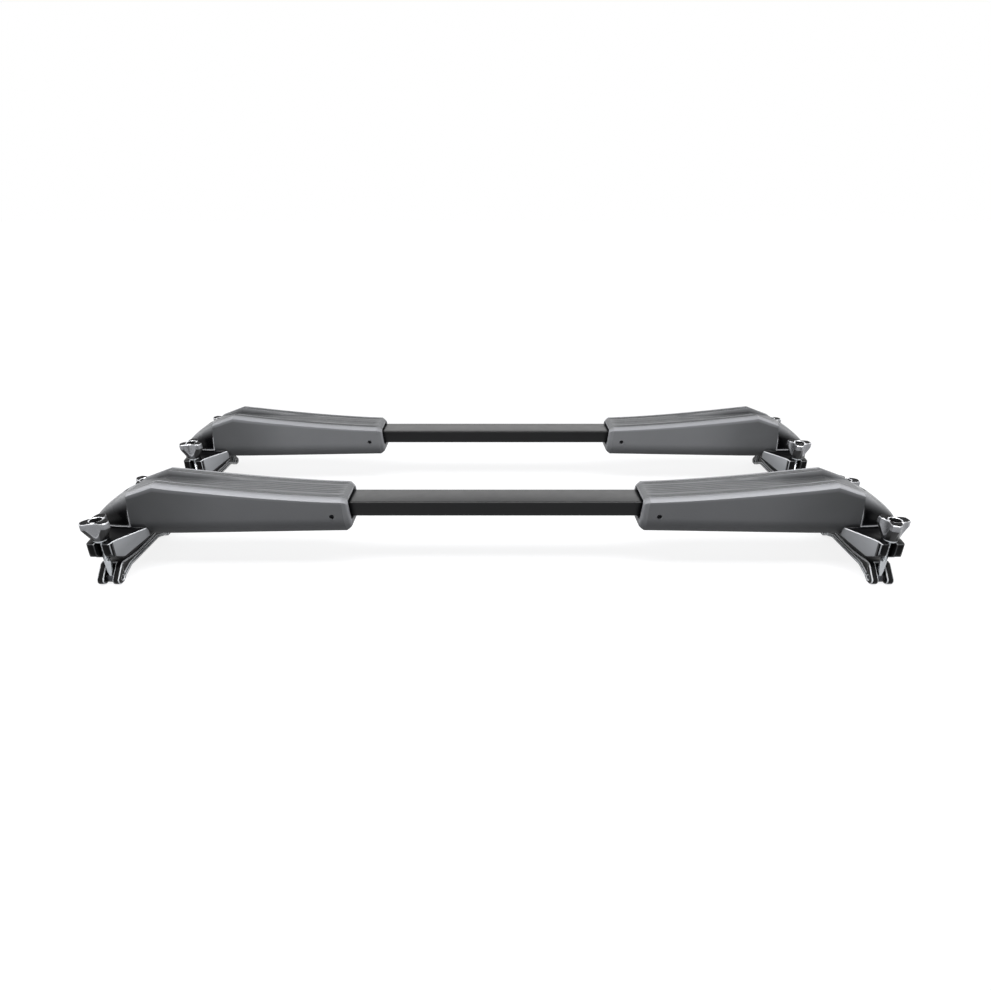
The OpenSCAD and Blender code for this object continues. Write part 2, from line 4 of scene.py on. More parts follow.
import bmesh
import bpy
import numpy as np
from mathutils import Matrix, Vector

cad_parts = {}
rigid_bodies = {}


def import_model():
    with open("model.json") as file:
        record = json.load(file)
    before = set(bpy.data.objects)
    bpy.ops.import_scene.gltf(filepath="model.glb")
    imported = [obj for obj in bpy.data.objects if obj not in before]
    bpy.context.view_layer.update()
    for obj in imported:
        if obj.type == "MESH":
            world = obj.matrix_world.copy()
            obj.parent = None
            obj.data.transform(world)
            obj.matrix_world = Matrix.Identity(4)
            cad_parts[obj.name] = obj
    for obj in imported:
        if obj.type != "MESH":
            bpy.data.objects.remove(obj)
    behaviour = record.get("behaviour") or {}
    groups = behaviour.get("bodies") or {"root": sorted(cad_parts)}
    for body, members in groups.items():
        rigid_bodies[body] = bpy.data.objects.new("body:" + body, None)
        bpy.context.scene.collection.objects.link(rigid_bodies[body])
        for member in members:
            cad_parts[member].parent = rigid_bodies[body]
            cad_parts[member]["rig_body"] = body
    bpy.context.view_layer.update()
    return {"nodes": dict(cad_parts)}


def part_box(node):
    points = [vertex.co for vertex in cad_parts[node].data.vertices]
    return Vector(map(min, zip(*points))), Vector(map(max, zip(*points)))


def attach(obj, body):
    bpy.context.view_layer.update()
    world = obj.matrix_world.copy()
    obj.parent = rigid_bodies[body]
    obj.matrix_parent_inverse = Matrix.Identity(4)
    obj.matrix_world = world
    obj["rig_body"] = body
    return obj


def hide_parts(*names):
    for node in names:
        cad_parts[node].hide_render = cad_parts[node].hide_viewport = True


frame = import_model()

# Camera
# The photograph's view: level with the bars' middle, pitched down over the front unit.
# The lens is the wide one that the bars' edges agree with.
CAMERA_BACK = 0.87986
CAMERA_UP = 0.43868
CAMERA_PITCH = 25.0
CAMERA_LENS = 23.355

camera_data = bpy.data.cameras.new("camera")
camera_data.sensor_width = 36.0
camera_data.lens = CAMERA_LENS
camera_data.clip_start = 0.01
camera = bpy.data.objects.new("camera", camera_data)
camera.location = (0.0, -CAMERA_BACK, CAMERA_UP)
camera.rotation_euler = (math.radians(90.0 - CAMERA_PITCH), 0.0, 0.0)
bpy.context.scene.collection.objects.link(camera)
bpy.context.scene.camera = camera
bpy.context.scene.view_settings.view_transform = "Standard"

# Studio
# A pale floor, long soft lamps above and behind, one at each side and a weak one in front.
# The floor and the surroundings show as white, and the floor keeps the object's soft shadow.
FLOOR_HALF = 12.0
FLOOR_Z = -0.0005
FLOOR_GREY = "#67686a"
FLOOR_SHOWN = 0.85
SHADOW_REACH = 0.8
FLOOR_FADE = 2.0
SKY_LIGHT = 0.15


def linear(colour):
    """A hex colour as linear red, green, blue and full alpha: the sRGB curve turned back."""
    shown = np.array([int(colour[i : i + 2], 16) for i in (1, 3, 5)]) / 255.0
    bent = ((shown + 0.055) / 1.055) ** 2.4
    return [float(c) for c in np.where(shown <= 0.04045, shown / 12.92, bent)] + [1.0]


def add_node(tree, kind, settings=None, links=None):
    """Adds a node, sets its properties and sockets, and links its inputs, by name or number."""
    made = tree.nodes.new(kind)
    for name, value in (settings or {}).items():
        if name in made.inputs:
            made.inputs[name].default_value = value
        else:
            setattr(made, name, value)
    for socket, source in (links or {}).items():
        tree.links.new(source, made.inputs[socket])
    return made


def new_tree(name):
    """An empty node tree of a new material, with the material and its output node."""
    made = bpy.data.materials.new(name)
    made.use_nodes = True
    made.node_tree.nodes.clear()
    return made, made.node_tree, made.node_tree.nodes.new("ShaderNodeOutputMaterial")


def shown_to_eye(tree):
    """One for camera, glossy and transmission rays, and nought for the light that falls on things."""
    rays = add_node(tree, "ShaderNodeLightPath").outputs
    larger = {"operation": "MAXIMUM"}
    first = {0: rays["Is Camera Ray"], 1: rays["Is Glossy Ray"]}
    either = add_node(tree, "ShaderNodeMath", larger, first).outputs[0]
    second = {0: either, 1: rays["Is Transmission Ray"]}
    return add_node(tree, "ShaderNodeMath", larger, second).outputs[0]


def floor_material():
    """Painted board that shows as white: a lit grey, which holds the shadow, with white added.

    Past SHADOW_REACH from the middle, where the lamps fall off, more white is added.
    """
    made, tree, out = new_tree("painted board floor")
    matt = add_node(tree, "ShaderNodeBsdfDiffuse", {"Color": linear(FLOOR_GREY)})
    place = add_node(tree, "ShaderNodeTexCoord").outputs["Object"]
    away = add_node(tree, "ShaderNodeVectorMath", {"operation": "LENGTH"}, {0: place})
    settings = {"From Min": SHADOW_REACH, "From Max": FLOOR_FADE, "To Min": FLOOR_SHOWN, "To Max": 1.0}
    share = add_node(tree, "ShaderNodeMapRange", settings, {"Value": away.outputs["Value"]})
    factors = {0: shown_to_eye(tree), 1: share.outputs[0]}
    seen = add_node(tree, "ShaderNodeMath", {"operation": "MULTIPLY"}, factors)
    white = add_node(tree, "ShaderNodeEmission", None, {"Strength": seen.outputs[0]})
    both = add_node(tree, "ShaderNodeAddShader", None, {0: matt.outputs[0], 1: white.outputs[0]})
    tree.links.new(both.outputs[0], out.inputs["Surface"])
    return made


floor_signs = [(-1, -1), (1, -1), (1, 1), (-1, 1)]
floor_corners = [(FLOOR_HALF * x, FLOOR_HALF * y, FLOOR_Z) for x, y in floor_signs]
floor_mesh = bpy.data.meshes.new("floor")
floor_mesh.from_pydata(floor_corners, [], [(0, 1, 2, 3)])
floor_mesh.materials.append(floor_material())
floor = bpy.data.objects.new("floor", floor_mesh)
bpy.context.scene.collection.objects.link(floor)

world = bpy.data.worlds.new("studio")
world.use_nodes = True
world_tree = world.node_tree
world_tree.nodes.clear()
white = (1.0, 1.0, 1.0, 1.0)
soft_sky = add_node(world_tree, "ShaderNodeBackground", {"Color": white, "Strength": SKY_LIGHT})
white_sky = add_node(world_tree, "ShaderNodeBackground", {"Color": white, "Strength": 1.0})
skies = {"Fac": shown_to_eye(world_tree), 1: soft_sky.outputs[0], 2: white_sky.outputs[0]}
sky = add_node(world_tree, "ShaderNodeMixShader", None, skies)
add_node(world_tree, "ShaderNodeOutputWorld", None, {"Surface": sky.outputs[0]})
bpy.context.scene.world = world


def soft_lamp(name, place, aim, size, power):
    """A rectangular soft lamp at a place, turned so that its minus z looks at the aim."""
    data = bpy.data.lights.new(name, "AREA")
    data.shape = "RECTANGLE"
    data.size, data.size_y = size
    data.energy = power
    made = bpy.data.objects.new(name, data)
    made.location = place
    way = np.array(aim) - np.array(place)
    flat = math.hypot(way[0], way[1])
    made.rotation_euler = (math.atan2(flat, -way[2]), 0.0, math.atan2(-way[0], way[1]))
    bpy.context.scene.collection.objects.link(made)


soft_lamp("top lamp", (0.0, -0.3, 0.8), (0.0, -0.1, 0.05), (1.6, 0.3), 22.0)
soft_lamp("back lamp", (0.0, 1.6, 0.85), (0.0, 0.0, 0.05), (3.4, 0.7), 13.0)
soft_lamp("left lamp", (-1.7, 0.35, 0.8), (-0.3, 0.0, 0.05), (1.2, 0.8), 9.0)
soft_lamp("right lamp", (1.7, 0.35, 0.8), (0.3, 0.0, 0.05), (1.2, 0.8), 9.0)
soft_lamp("front lamp", (0.0, -1.7, 1.05), (0.0, 0.0, 0.05), (2.6, 0.5), 9.5)

# Centre bars
# Each unit's backbone is a drawn aluminium tube, 40 by 20 mm, powder coated satin black.
# The arms slide on its ends; a moulded plug closes each open end.
UNITS = ("front", "rear")
ORANGE_PEEL_MM = 1.6
NOISE_LOW = 0.3
NOISE_HIGH = 0.7
WELD_M = 2e-6
FLAT_DEGREES = 0.6
SHARP_DEGREES = 32.0
BEND_DEGREES = 34.0


def new_material(name, colour, rough, shine, metallic=0.0, ior=1.5):
    """Starts a material: its tree, and one shader with uniform values on its own sockets.

    shine is the strength of the reflection at the surface, which is usually a half.
    """
    made, tree, out = new_tree(name)
    values = {"Base Color": linear(colour), "Roughness": rough, "Specular IOR Level": shine}
    values.update({"Metallic": metallic, "IOR": ior})
    shader = add_node(tree, "ShaderNodeBsdfPrincipled", values)
    tree.links.new(shader.outputs[0], out.inputs["Surface"])
    return made, tree, shader


def object_noise(tree, size_mm, detail=2.0):
    """Noise on Object coordinates whose waves are about size_mm across."""
    place = add_node(tree, "ShaderNodeTexCoord").outputs["Object"]
    settings = {"Scale": 1000.0 / size_mm, "Detail": detail, "Roughness": 0.55}
    return add_node(tree, "ShaderNodeTexNoise", settings, {"Vector": place}).outputs["Fac"]


def clouded(tree, size_mm, low, high, detail=2.0):
    """A number that wanders from low to high in clouds about size_mm across.

    Noise keeps mostly between NOISE_LOW and NOISE_HIGH, so that stretch is mapped to the range.
    """
    noise = object_noise(tree, size_mm, detail)
    settings = {"From Min": NOISE_LOW, "From Max": NOISE_HIGH, "To Min": low, "To Max": high}
    return add_node(tree, "ShaderNodeMapRange", settings, {"Value": noise}).outputs[0]


def drifting(tree, size_mm, dark, light):
    """A colour that drifts between two hex colours in clouds about size_mm across."""
    shade = add_node(tree, "ShaderNodeValToRGB", None, {"Fac": object_noise(tree, size_mm)})
    first, last = shade.color_ramp.elements
    first.position, last.position = NOISE_LOW, NOISE_HIGH
    first.color, last.color = linear(dark), linear(light)
    return shade.outputs["Color"]


def press_grain(tree, shader, size_mm, depth_mm, strength):
    """The relief that a mould or a baked coat leaves: noise as bumps of a real size and depth."""
    settings = {"Strength": strength, "Distance": depth_mm / 1000.0}
    bump = add_node(tree, "ShaderNodeBump", settings, {"Height": object_noise(tree, size_mm)})
    tree.links.new(bump.outputs[0], shader.inputs["Normal"])


def powder_coat():
    """Polyester powder coat, baked on metal: satin, with the faint orange peel of melted powder."""
    made, tree, shader = new_material("satin black powder coat", "#060708", 0.33, 0.2)
    tree.links.new(drifting(tree, 30.0, "#060607", "#08090a"), shader.inputs["Base Color"])
    tree.links.new(clouded(tree, 12.0, 0.31, 0.35), shader.inputs["Roughness"])
    press_grain(tree, shader, ORANGE_PEEL_MM, 0.012, 0.3)
    return made


def finish_mesh(mesh, sharp_degrees=SHARP_DEGREES):
    """Normals outward on every closed shell, smooth faces, and hard edges past an angle."""
    work = bmesh.new()
    work.from_mesh(mesh)
    bmesh.ops.recalc_face_normals(work, faces=work.faces)
    work.to_mesh(mesh)
    work.free()
    mesh.polygons.foreach_set("use_smooth", np.ones(len(mesh.polygons), bool))
    mesh.set_sharp_from_angle(angle=math.radians(sharp_degrees))
    mesh.update()


def applied(piece):
    """Turns a piece's live modifiers into its mesh."""
    depsgraph = bpy.context.evaluated_depsgraph_get()
    mesh = bpy.data.meshes.new_from_object(piece.evaluated_get(depsgraph))
    piece.modifiers.clear()
    piece.data = mesh


def eased_copy(node, name, material, ease_mm, steps=2, edge=None):
    """The CAD node's own surface as one welded skin, its flat faces joined and its edges eased.

    The radius of an eased edge is ease_mm, as a mould or a deburring tool leaves it. A second
    material, edge, colours the eased edges themselves, in this script always a painted highlight. Such
    an edge keeps its full width where it meets another one.
    """
    mesh = frame["nodes"][node].data.copy()
    mesh.materials.clear()
    work = bmesh.new()
    work.from_mesh(mesh)
    bmesh.ops.remove_doubles(work, verts=work.verts, dist=WELD_M)
    flat = math.radians(FLAT_DEGREES)
    bmesh.ops.dissolve_limit(work, angle_limit=flat, verts=work.verts, edges=work.edges)
    work.to_mesh(mesh)
    work.free()
    mesh.materials.append(material)
    piece = bpy.data.objects.new(name, mesh)
    bpy.context.scene.collection.objects.link(piece)
    bevel = piece.modifiers.new("eased edges", "BEVEL")
    bevel.width = ease_mm / 1000.0
    bevel.segments = steps
    bevel.limit_method = "ANGLE"
    bevel.angle_limit = math.radians(BEND_DEGREES)
    bevel.use_clamp_overlap = edge is None
    if edge:
        mesh.materials.append(edge)
        bevel.material = 1
    applied(piece)
    finish_mesh(piece.data)
    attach(piece, frame["nodes"][node]["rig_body"])
    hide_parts(node)
    return piece


bar_coat = powder_coat()
for unit in UNITS:
    bar = eased_copy(f"{unit}_centre_bar", f"{unit}_bar", bar_coat, 0.3)

# Bar plugs
# A moulded plug closes each end of the bar; it shows only when an arm is drawn off.
# Black polyethylene with a fine spark-eroded grain from the mould.


def moulded_plastic(name, dark, light, rough, grain_mm=0.5, grain_depth=0.02, shine=0.3):
    """Moulded plastic: colour that drifts slightly over the part, and the mould's fine grain."""
    made, tree, shader = new_material(name, light, rough, shine)
    tree.links.new(drifting(tree, 22.0, dark, light), shader.inputs["Base Color"])
    wander = clouded(tree, 7.0, rough * 0.88, rough * 1.12)
    tree.links.new(wander, shader.inputs["Roughness"])
    press_grain(tree, shader, grain_mm, grain_depth, 0.6)
    return made


# Polyethylene: dull, waxy black.
plug_plastic = moulded_plastic("moulded polyethylene", "#111112", "#161617", 0.5)
for unit in UNITS:
    plugs = eased_copy(f"{unit}_bar_plugs", f"{unit}_plugs", plug_plastic, 0.4)

# Arm tubes and their screws
# A steel sleeve in each pad, powder coated like the bar, slides on it; its mouth shows inside
# the pad's inner end.
# Three black-oxide socket set screws: one locks the arm to the bar, two hold the jaw's tongue.
ARMS = [(unit, side, f"{unit}_{side}") for unit in UNITS for side in ("left", "right")]


def black_oxide():
    """Black oxide on turned steel: dark metal with a faint mottled sheen."""
    made, tree, shader = new_material("black oxide steel", "#3c3d40", 0.36, 0.5, metallic=1.0)
    tree.links.new(drifting(tree, 1.2, "#2e2f32", "#46474b"), shader.inputs["Base Color"])
    press_grain(tree, shader, 0.4, 0.01, 0.5)
    return made


screw_black = black_oxide()
for _, _, arm in ARMS:
    tube = eased_copy(f"{arm}_arm_tube", f"{arm}_sleeve", bar_coat, 0.3)
    screws = eased_copy(f"{arm}_arm_screws", f"{arm}_set_screws", screw_black, 0.2)

# Pads
# Each arm wears a compression-moulded EVA foam pad: a rising top with two ribbed ridges,
# a strap channel between them that opens toward the peak, and a chamfer down to the hood.
PAD_IN_X = 184.0
PAD_PEAK_X = 420.0
PAD_STEP_X = 437.0
PAD_OUT_X = 455.0
PAD_HALF = 33.0
PAD_TOP_IN = 8.2
PAD_TOP_PEAK = 28.2
PAD_TOP_OUT = 15.5
PAD_FOOT_IN = -36.0
PAD_FOOT_STEP = -40.6
PAD_FOOT_OUT = -29.0
PAD_TOP_R = 13.0
PAD_CREASE = 48.0
PAD_TURN_Y = 6.0
PAD_TURN_Z = 20.0
STEP_TURN_Y = 1.0
STEP_TURN_Z = 5.0
PAD_RISE_BEND = 1.45
PAD_END_LONG = 7.0
PAD_END_IN = 6.0
PAD_END_BEND = 0.6
PAD_SHARP = 19.0
PAD_LEAN = 4.0
PAD_LEAN_SHARE = 0.125
PAD_WAIST = 2.2
WAIST_FROM = 395.0
WAIST_BEND = 1.5
CHANNEL_IN_X = 285.0
CHANNEL_DEEP = 6.5
CHANNEL_HALF = 15.5
CHANNEL_WALL = 2.2
CHANNEL_FADE_BEND = 0.8
GROOVE_PLACES = (0.0, 5.2, 10.2, 18.4, 22.9)
RIDGE_MARGIN = 0.5
FLOOR_GROOVE = 0.5
GROOVE_DEEP = 1.2
GROOVE_HALF = 1.3
GROOVE_RUN_IN = 20.0
GROOVE_RUN_OUT = 4.0
CAVITY_HALF = 23.3
CAVITY_TOP = 3.3
CAVITY_FOOT = -23.3
KEY_HOLE_X = 204.0
KEY_HOLE_Z = -14.5
KEY_HOLE_R = 3.2
KEY_FROM = -40.0
KEY_TO = -22.0
FOAM_PEBBLE_MM = 0.9
FOAM_PEBBLE_DEEP_MM = 0.03
TONE_CLOUD = 0.015
# From here to the end of the list: the foam's painted light, as highlights on rounded edges and shade
# in the channel, grooves, key hole, on top faces and toward the foot and outer end.
ROLLED_DEEP = 6.0
CREST_PALE = 0.5
CHANNEL_DARK = 0.85
CHANNEL_DARK_IN = 8.0
TOP_DARK = 0.45
LOW_DARK = 0.42
LOW_DARK_Z = 24.0
FAR_DARK = 0.45
FAR_DARK_X = (320.0, 430.0)
END_GLOW_RISE = 0.6
END_GLOW_FALL = (0.8, 3.5)


def unit_middle(unit):
    """The unit's middle plane and its bar's top, in metres, from the frame."""
    low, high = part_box(f"{unit}_centre_bar")
    return (low.y + high.y) / 2, high.z


def in_arm(points, unit, side):
    """Arm millimetres, x outward and z up from the bar's top, to metres; a left arm is mirrored."""
    middle, top = unit_middle(unit)
    sign = -1.0 if side == "left" else 1.0
    placed = np.asarray(points, float) / 1000.0
    return placed * [sign, 1.0, 1.0] + [0.0, middle, top]


def quads(rows, columns, ring_rows, ring_columns):
    """Corner numbers of a grid's quads; a ring direction joins its last line to its first."""
    i, j = np.meshgrid(
        np.arange(rows if ring_rows else rows - 1),
        np.arange(columns if ring_columns else columns - 1),
        indexing="ij",
    )
    k, m = (i + 1) % rows, (j + 1) % columns
    corners = [i * columns + j, i * columns + m, k * columns + m, k * columns + j]
    return np.stack(corners, -1).reshape(-1, 4)


def surface(name, grids, materials, sharp_degrees=SHARP_DEGREES):
    """A new piece from one or more grids: (points, ring rows, ring columns, material number)."""
    corners = []
    faces = []
    slots = []
    count = 0
    for points, ring_rows, ring_columns, number in grids:
        rows, columns = points.shape[:2]
        made = quads(rows, columns, ring_rows, ring_columns)
        corners.append(points.reshape(-1, 3))
        faces.append(made + count)
        slots.append(np.full(len(made), number))
        count += rows * columns
    corners = np.concatenate(corners)
    faces = np.concatenate(faces)
    mesh = bpy.data.meshes.new(name)
    mesh.from_pydata(corners.tolist(), [], faces.tolist())
    for material in materials:
        mesh.materials.append(material)
    mesh.polygons.foreach_set("material_index", np.concatenate(slots).astype(np.int32))
    work = bmesh.new()
    work.from_mesh(mesh)
    bmesh.ops.remove_doubles(work, verts=work.verts, dist=WELD_M / 2)
    work.to_mesh(mesh)
    work.free()
    finish_mesh(mesh, sharp_degrees)
    piece = bpy.data.objects.new(name, mesh)
    bpy.context.scene.collection.objects.link(piece)
    return piece


def cut_away(piece, grids, sharp_degrees=SHARP_DEGREES):
    """Takes a closed tool made of grids out of a piece, and smooths the result again."""
    tool = surface(piece.name + "_tool", grids, [])
    cut = piece.modifiers.new("cut", "BOOLEAN")
    cut.operation = "DIFFERENCE"
    cut.solver = "EXACT"
    cut.object = tool
    applied(piece)
    bpy.data.objects.remove(tool)
    finish_mesh(piece.data, sharp_degrees)


def share_of(x, start, end):
    """How far x is from start to end, held between nought and one."""
    return np.clip((x - start) / (end - start), 0.0, 1.0)


def ramp(x, start, end):
    """Smooth step: nought before start, one after end, with no slope at either."""
    t = share_of(x, start, end)
    return t * t * (3.0 - 2.0 * t)


def bell(x, middle, width):
    """A bell curve, one at the middle, that has nearly died away two widths from it."""
    return np.exp(-(((x - middle) / width) ** 2))


def pad_top(x):
    """Height of the pad: a power curve up to the peak, then a straight chamfer."""
    rise = share_of(x, PAD_IN_X, PAD_PEAK_X) ** PAD_RISE_BEND
    fall = share_of(x, PAD_PEAK_X, PAD_OUT_X)
    return PAD_TOP_IN + (PAD_TOP_PEAK - PAD_TOP_IN) * rise - (PAD_TOP_PEAK - PAD_TOP_OUT) * fall


def pad_foot(x):
    """Depth of the pad: a straight slope out to the step, then level over the jaw."""
    slope = PAD_FOOT_IN + (PAD_FOOT_STEP - PAD_FOOT_IN) * (x - PAD_IN_X) / (PAD_STEP_X - PAD_IN_X)
    return np.where(x > PAD_STEP_X, PAD_FOOT_OUT, slope)


def groove_share(x, y):
    """How deep the ridge's fine grooves are: bell curves across, that fade toward both ends."""
    bells = sum(bell(y, place, GROOVE_HALF) for place in GROOVE_PLACES)
    start = ramp(x, PAD_IN_X, PAD_IN_X + GROOVE_RUN_IN)
    return bells * start * (1.0 - ramp(x, PAD_PEAK_X + GROOVE_RUN_OUT, PAD_OUT_X))


def channel_depth(x):
    """Depth of the strap channel: grows evenly to the peak, then runs out down the chamfer."""
    grow = share_of(x, CHANNEL_IN_X, PAD_PEAK_X)
    fade = share_of(x, PAD_OUT_X, PAD_PEAK_X) ** CHANNEL_FADE_BEND
    return CHANNEL_DEEP * grow * fade


def arc(y, z, radius, start, end, steps):
    """Points of a rounded corner about (y, z), from one angle to another, for every station."""
    angle = np.radians(np.linspace(start, end, steps))[None, :]
    return y + radius * np.cos(angle), z + radius * np.sin(angle)


def line(first, last, steps):
    """Evenly spaced values between two columns, without both ends."""
    share = (np.arange(steps) + 1.0)[None, :] / (steps + 1.0)
    return first + (last - first) * share


def end_inset(x):
    """How far the skin closes toward the inner end: a power of the way in from the crease."""
    return PAD_END_IN * (1.0 - share_of(x, PAD_IN_X, PAD_IN_X + PAD_END_LONG) ** PAD_END_BEND)


def pad_half(x):
    """Half the pad's width: full along its middle, drawn in at the inner end and at the waist."""
    return PAD_HALF - end_inset(x) - PAD_WAIST * share_of(x, WAIST_FROM, PAD_OUT_X) ** WAIST_BEND


def pad_skin(x):
    """The pad's outer skin: at each x a box section with a strap channel and fine grooves on top.

    The top's round edges stop at a crease, PAD_CREASE short of the upright face, and the face turns
    under along a parabola. From a like crease the section closes toward the inner end. Both ends
    lean with height.
    """
    x = x[:, None]
    short = math.radians(PAD_CREASE)
    half = pad_half(x)
    top = pad_top(x) - end_inset(x)
    foot = pad_foot(x) + end_inset(x)
    flat = half - PAD_TOP_R * math.cos(short)
    crease = top - PAD_TOP_R * (1.0 - math.sin(short))
    turn = np.linspace(0.0, 1.0, 12)[None, :]
    under_in = np.where(x > PAD_STEP_X, STEP_TURN_Y, PAD_TURN_Y)
    under_up = np.where(x > PAD_STEP_X, STEP_TURN_Z, PAD_TURN_Z)
    edge = np.full_like(x, CHANNEL_HALF)
    base = np.full_like(x, CHANNEL_HALF - CHANNEL_WALL)
    floor_z = top - channel_depth(x)
    right = [
        (line(0.0 * half, half - under_in, 5), np.repeat(foot, 5, 1)),
        (half - under_in * (1.0 - turn) ** 2, foot + under_up * turn),
        (np.repeat(half, 7, 1), line(foot + under_up, crease, 7)),
        arc(flat, top - PAD_TOP_R, PAD_TOP_R, PAD_CREASE, 90, 12),
        (line(flat, edge, 40), np.repeat(top, 40, 1)),
        (edge, top),
        (base, floor_z),
        (line(base, 0.0 * base, 24), np.repeat(floor_z, 24, 1)),
    ]
    y = np.concatenate([part[0] for part in right], 1)
    z = np.concatenate([part[1] for part in right], 1)
    on_ridge = (z > top - 0.01) & (y > CHANNEL_HALF + RIDGE_MARGIN) & (y < flat)
    z = z - np.where(on_ridge, GROOVE_DEEP * groove_share(x, y), 0.0)
    in_channel = (y < CHANNEL_HALF - CHANNEL_WALL - 0.2) & (z > foot + 0.1)
    z = z - np.where(in_channel, FLOOR_GROOVE * groove_share(x, y), 0.0)
    y = np.concatenate([y, 0.0 * top, -y[:, ::-1], 0.0 * top], 1)
    z = np.concatenate([z, floor_z, z[:, ::-1], foot], 1)
    over_cavity = (z > CAVITY_FOOT) & (np.abs(y) < CAVITY_HALF + 0.1)
    z = np.where(over_cavity, np.maximum(z, CAVITY_TOP + 0.1), z)
    share = (x - PAD_IN_X) / (PAD_OUT_X - PAD_IN_X)
    inner_lean = share_of(share, PAD_LEAN_SHARE, 0.0)
    outer_lean = share_of(share, 1.0 - PAD_LEAN_SHARE, 1.0)
    height = (z - top) / (pad_top(x) - pad_foot(x))
    return np.stack([x + PAD_LEAN * (inner_lean - outer_lean) * height, y, z], -1)


def pad_cavity(ring):
    """The sleeve's cavity: each ring point drawn in, along a ray, to the rectangle round it."""
    middle = (CAVITY_TOP + CAVITY_FOOT) / 2
    high = (CAVITY_TOP - CAVITY_FOOT) / 2
    y, z = ring[:, :, 1], ring[:, :, 2] - middle
    reach = np.maximum(np.abs(y) / CAVITY_HALF, np.abs(z) / high)
    y, z = y / reach, z / reach + middle
    return np.stack([ring[:, :, 0], y, z], -1)


def painted_light_ramp(tree, stops, cloud_mm):
    """A colour ramp over the tone kept on the mesh, which holds painted light, clouded a little by
    noise.
    """
    tone = add_node(tree, "ShaderNodeAttribute", {"attribute_name": "tone"})
    cloud = clouded(tree, cloud_mm, -TONE_CLOUD, TONE_CLOUD, 3.0)
    parts = {0: tone.outputs["Fac"], 1: cloud}
    both = add_node(tree, "ShaderNodeMath", {"operation": "ADD"}, parts)
    shade = add_node(tree, "ShaderNodeValToRGB", None, {"Fac": both.outputs[0]})
    elements = shade.color_ramp.elements
    elements[0].color = linear(stops[0][1])
    elements[1].color = linear(stops[-1][1])
    for position, colour in stops[1:-1]:
        elements.new(position).color = linear(colour)
    return shade.outputs["Color"]


def keep_painted_light(piece, values):
    """Keeps a tone from nought to one at each corner of a piece: painted light, for the ramp that shows
    it.
    """
    tone = piece.data.attributes.new("tone", "FLOAT", "POINT")
    tone.data.foreach_set("value", np.clip(values, 0.0, 1.0).astype(np.float32))


def corners_of(piece, unit):
    """A piece's corners in its arm's millimetres, and their normals, with x outward."""
    mesh = piece.data
    places = np.empty(3 * len(mesh.vertices))
    normals = np.empty(3 * len(mesh.vertices))
    mesh.vertices.foreach_get("co", places)
    mesh.vertex_normals.foreach_get("vector", normals)
    places, normals = places.reshape(-1, 3), normals.reshape(-1, 3)
    middle, top = unit_middle(unit)
    out = np.sign(places[:, 0])
    placed = (places - [0.0, middle, top]) * 1000.0
    placed[:, 0] *= out
    normals[:, 0] *= out
    return placed, normals


def foam_painted_light(places, normals):
    """The foam's painted light: painted highlights on the rolled edges, the channel's crest and the
    inner end, and painted shade in the channel, the grooves and the key hole, on the top faces and
    toward the foot and the outer end.

    A half is plain foam. Paleness raises it toward one and darkness lowers it toward nought, each
    as a ramp or a bell curve of the distance from the edge, groove or foot that it follows.
    """
    x, y, z = places[:, 0], np.abs(places[:, 1]), places[:, 2]
    across, up = np.abs(normals[:, 1]), normals[:, 2]
    below = pad_top(x) - z
    from_end = x + PAD_LEAN * below / (pad_top(x) - pad_foot(x)) - PAD_IN_X
    flat_to = pad_half(x) - PAD_TOP_R * math.cos(math.radians(PAD_CREASE))
    rolled = (y > flat_to - 0.2) & (below < ROLLED_DEEP)
    sunk = ramp(channel_depth(x) / CHANNEL_DEEP, 0.1, 0.8)
    grooves = groove_share(x, y)
    crest = (y > CHANNEL_HALF - 0.05) & (up > 0.3)
    crest_glow = CREST_PALE * sunk * bell(y, CHANNEL_HALF + 0.5, 0.7)
    end_glow = ramp(from_end, 0.0, END_GLOW_RISE) * (1.0 - ramp(from_end, *END_GLOW_FALL))
    pale = np.where(rolled & (up > 0.35), np.clip(across / 0.4, 0.0, 1.0), 0.0)
    pale = np.maximum(pale, np.where(y > CAVITY_HALF, end_glow, 0.0))
    pale = np.maximum(pale, np.where(crest, crest_glow, 0.0))
    over_cavity = z > CAVITY_TOP
    channel = (y < CHANNEL_HALF - 0.1) & (up > -0.2) & over_cavity
    channel = channel & (x > PAD_IN_X + CHANNEL_DARK_IN)
    ridge = (y > CHANNEL_HALF + 0.8) & (up > 0.6) & ~rolled
    low = 1.0 - ramp(z, PAD_FOOT_STEP, PAD_FOOT_STEP + LOW_DARK_Z)
    far = ramp(x, *FAR_DARK_X) * (np.abs(up) < 0.5)
    key_hole = np.hypot(x - KEY_HOLE_X, z - KEY_HOLE_Z) < KEY_HOLE_R + 0.1
    dark = np.where(channel, np.maximum(CHANNEL_DARK * sunk, TOP_DARK + 0.4 * grooves), 0.0)
    dark = np.maximum(dark, np.where((up > 0.7) & over_cavity, 0.5, 0.0))
    dark = np.maximum(dark, np.where(ridge, TOP_DARK + 0.5 * grooves, 0.0))
    dark = np.maximum(dark, LOW_DARK * low + FAR_DARK * far)
    dark = np.where(key_hole & (y < pad_half(x) - 0.1), 1.0, dark)
    return 0.5 + 0.5 * pale - 0.5 * dark * (1.0 - pale)


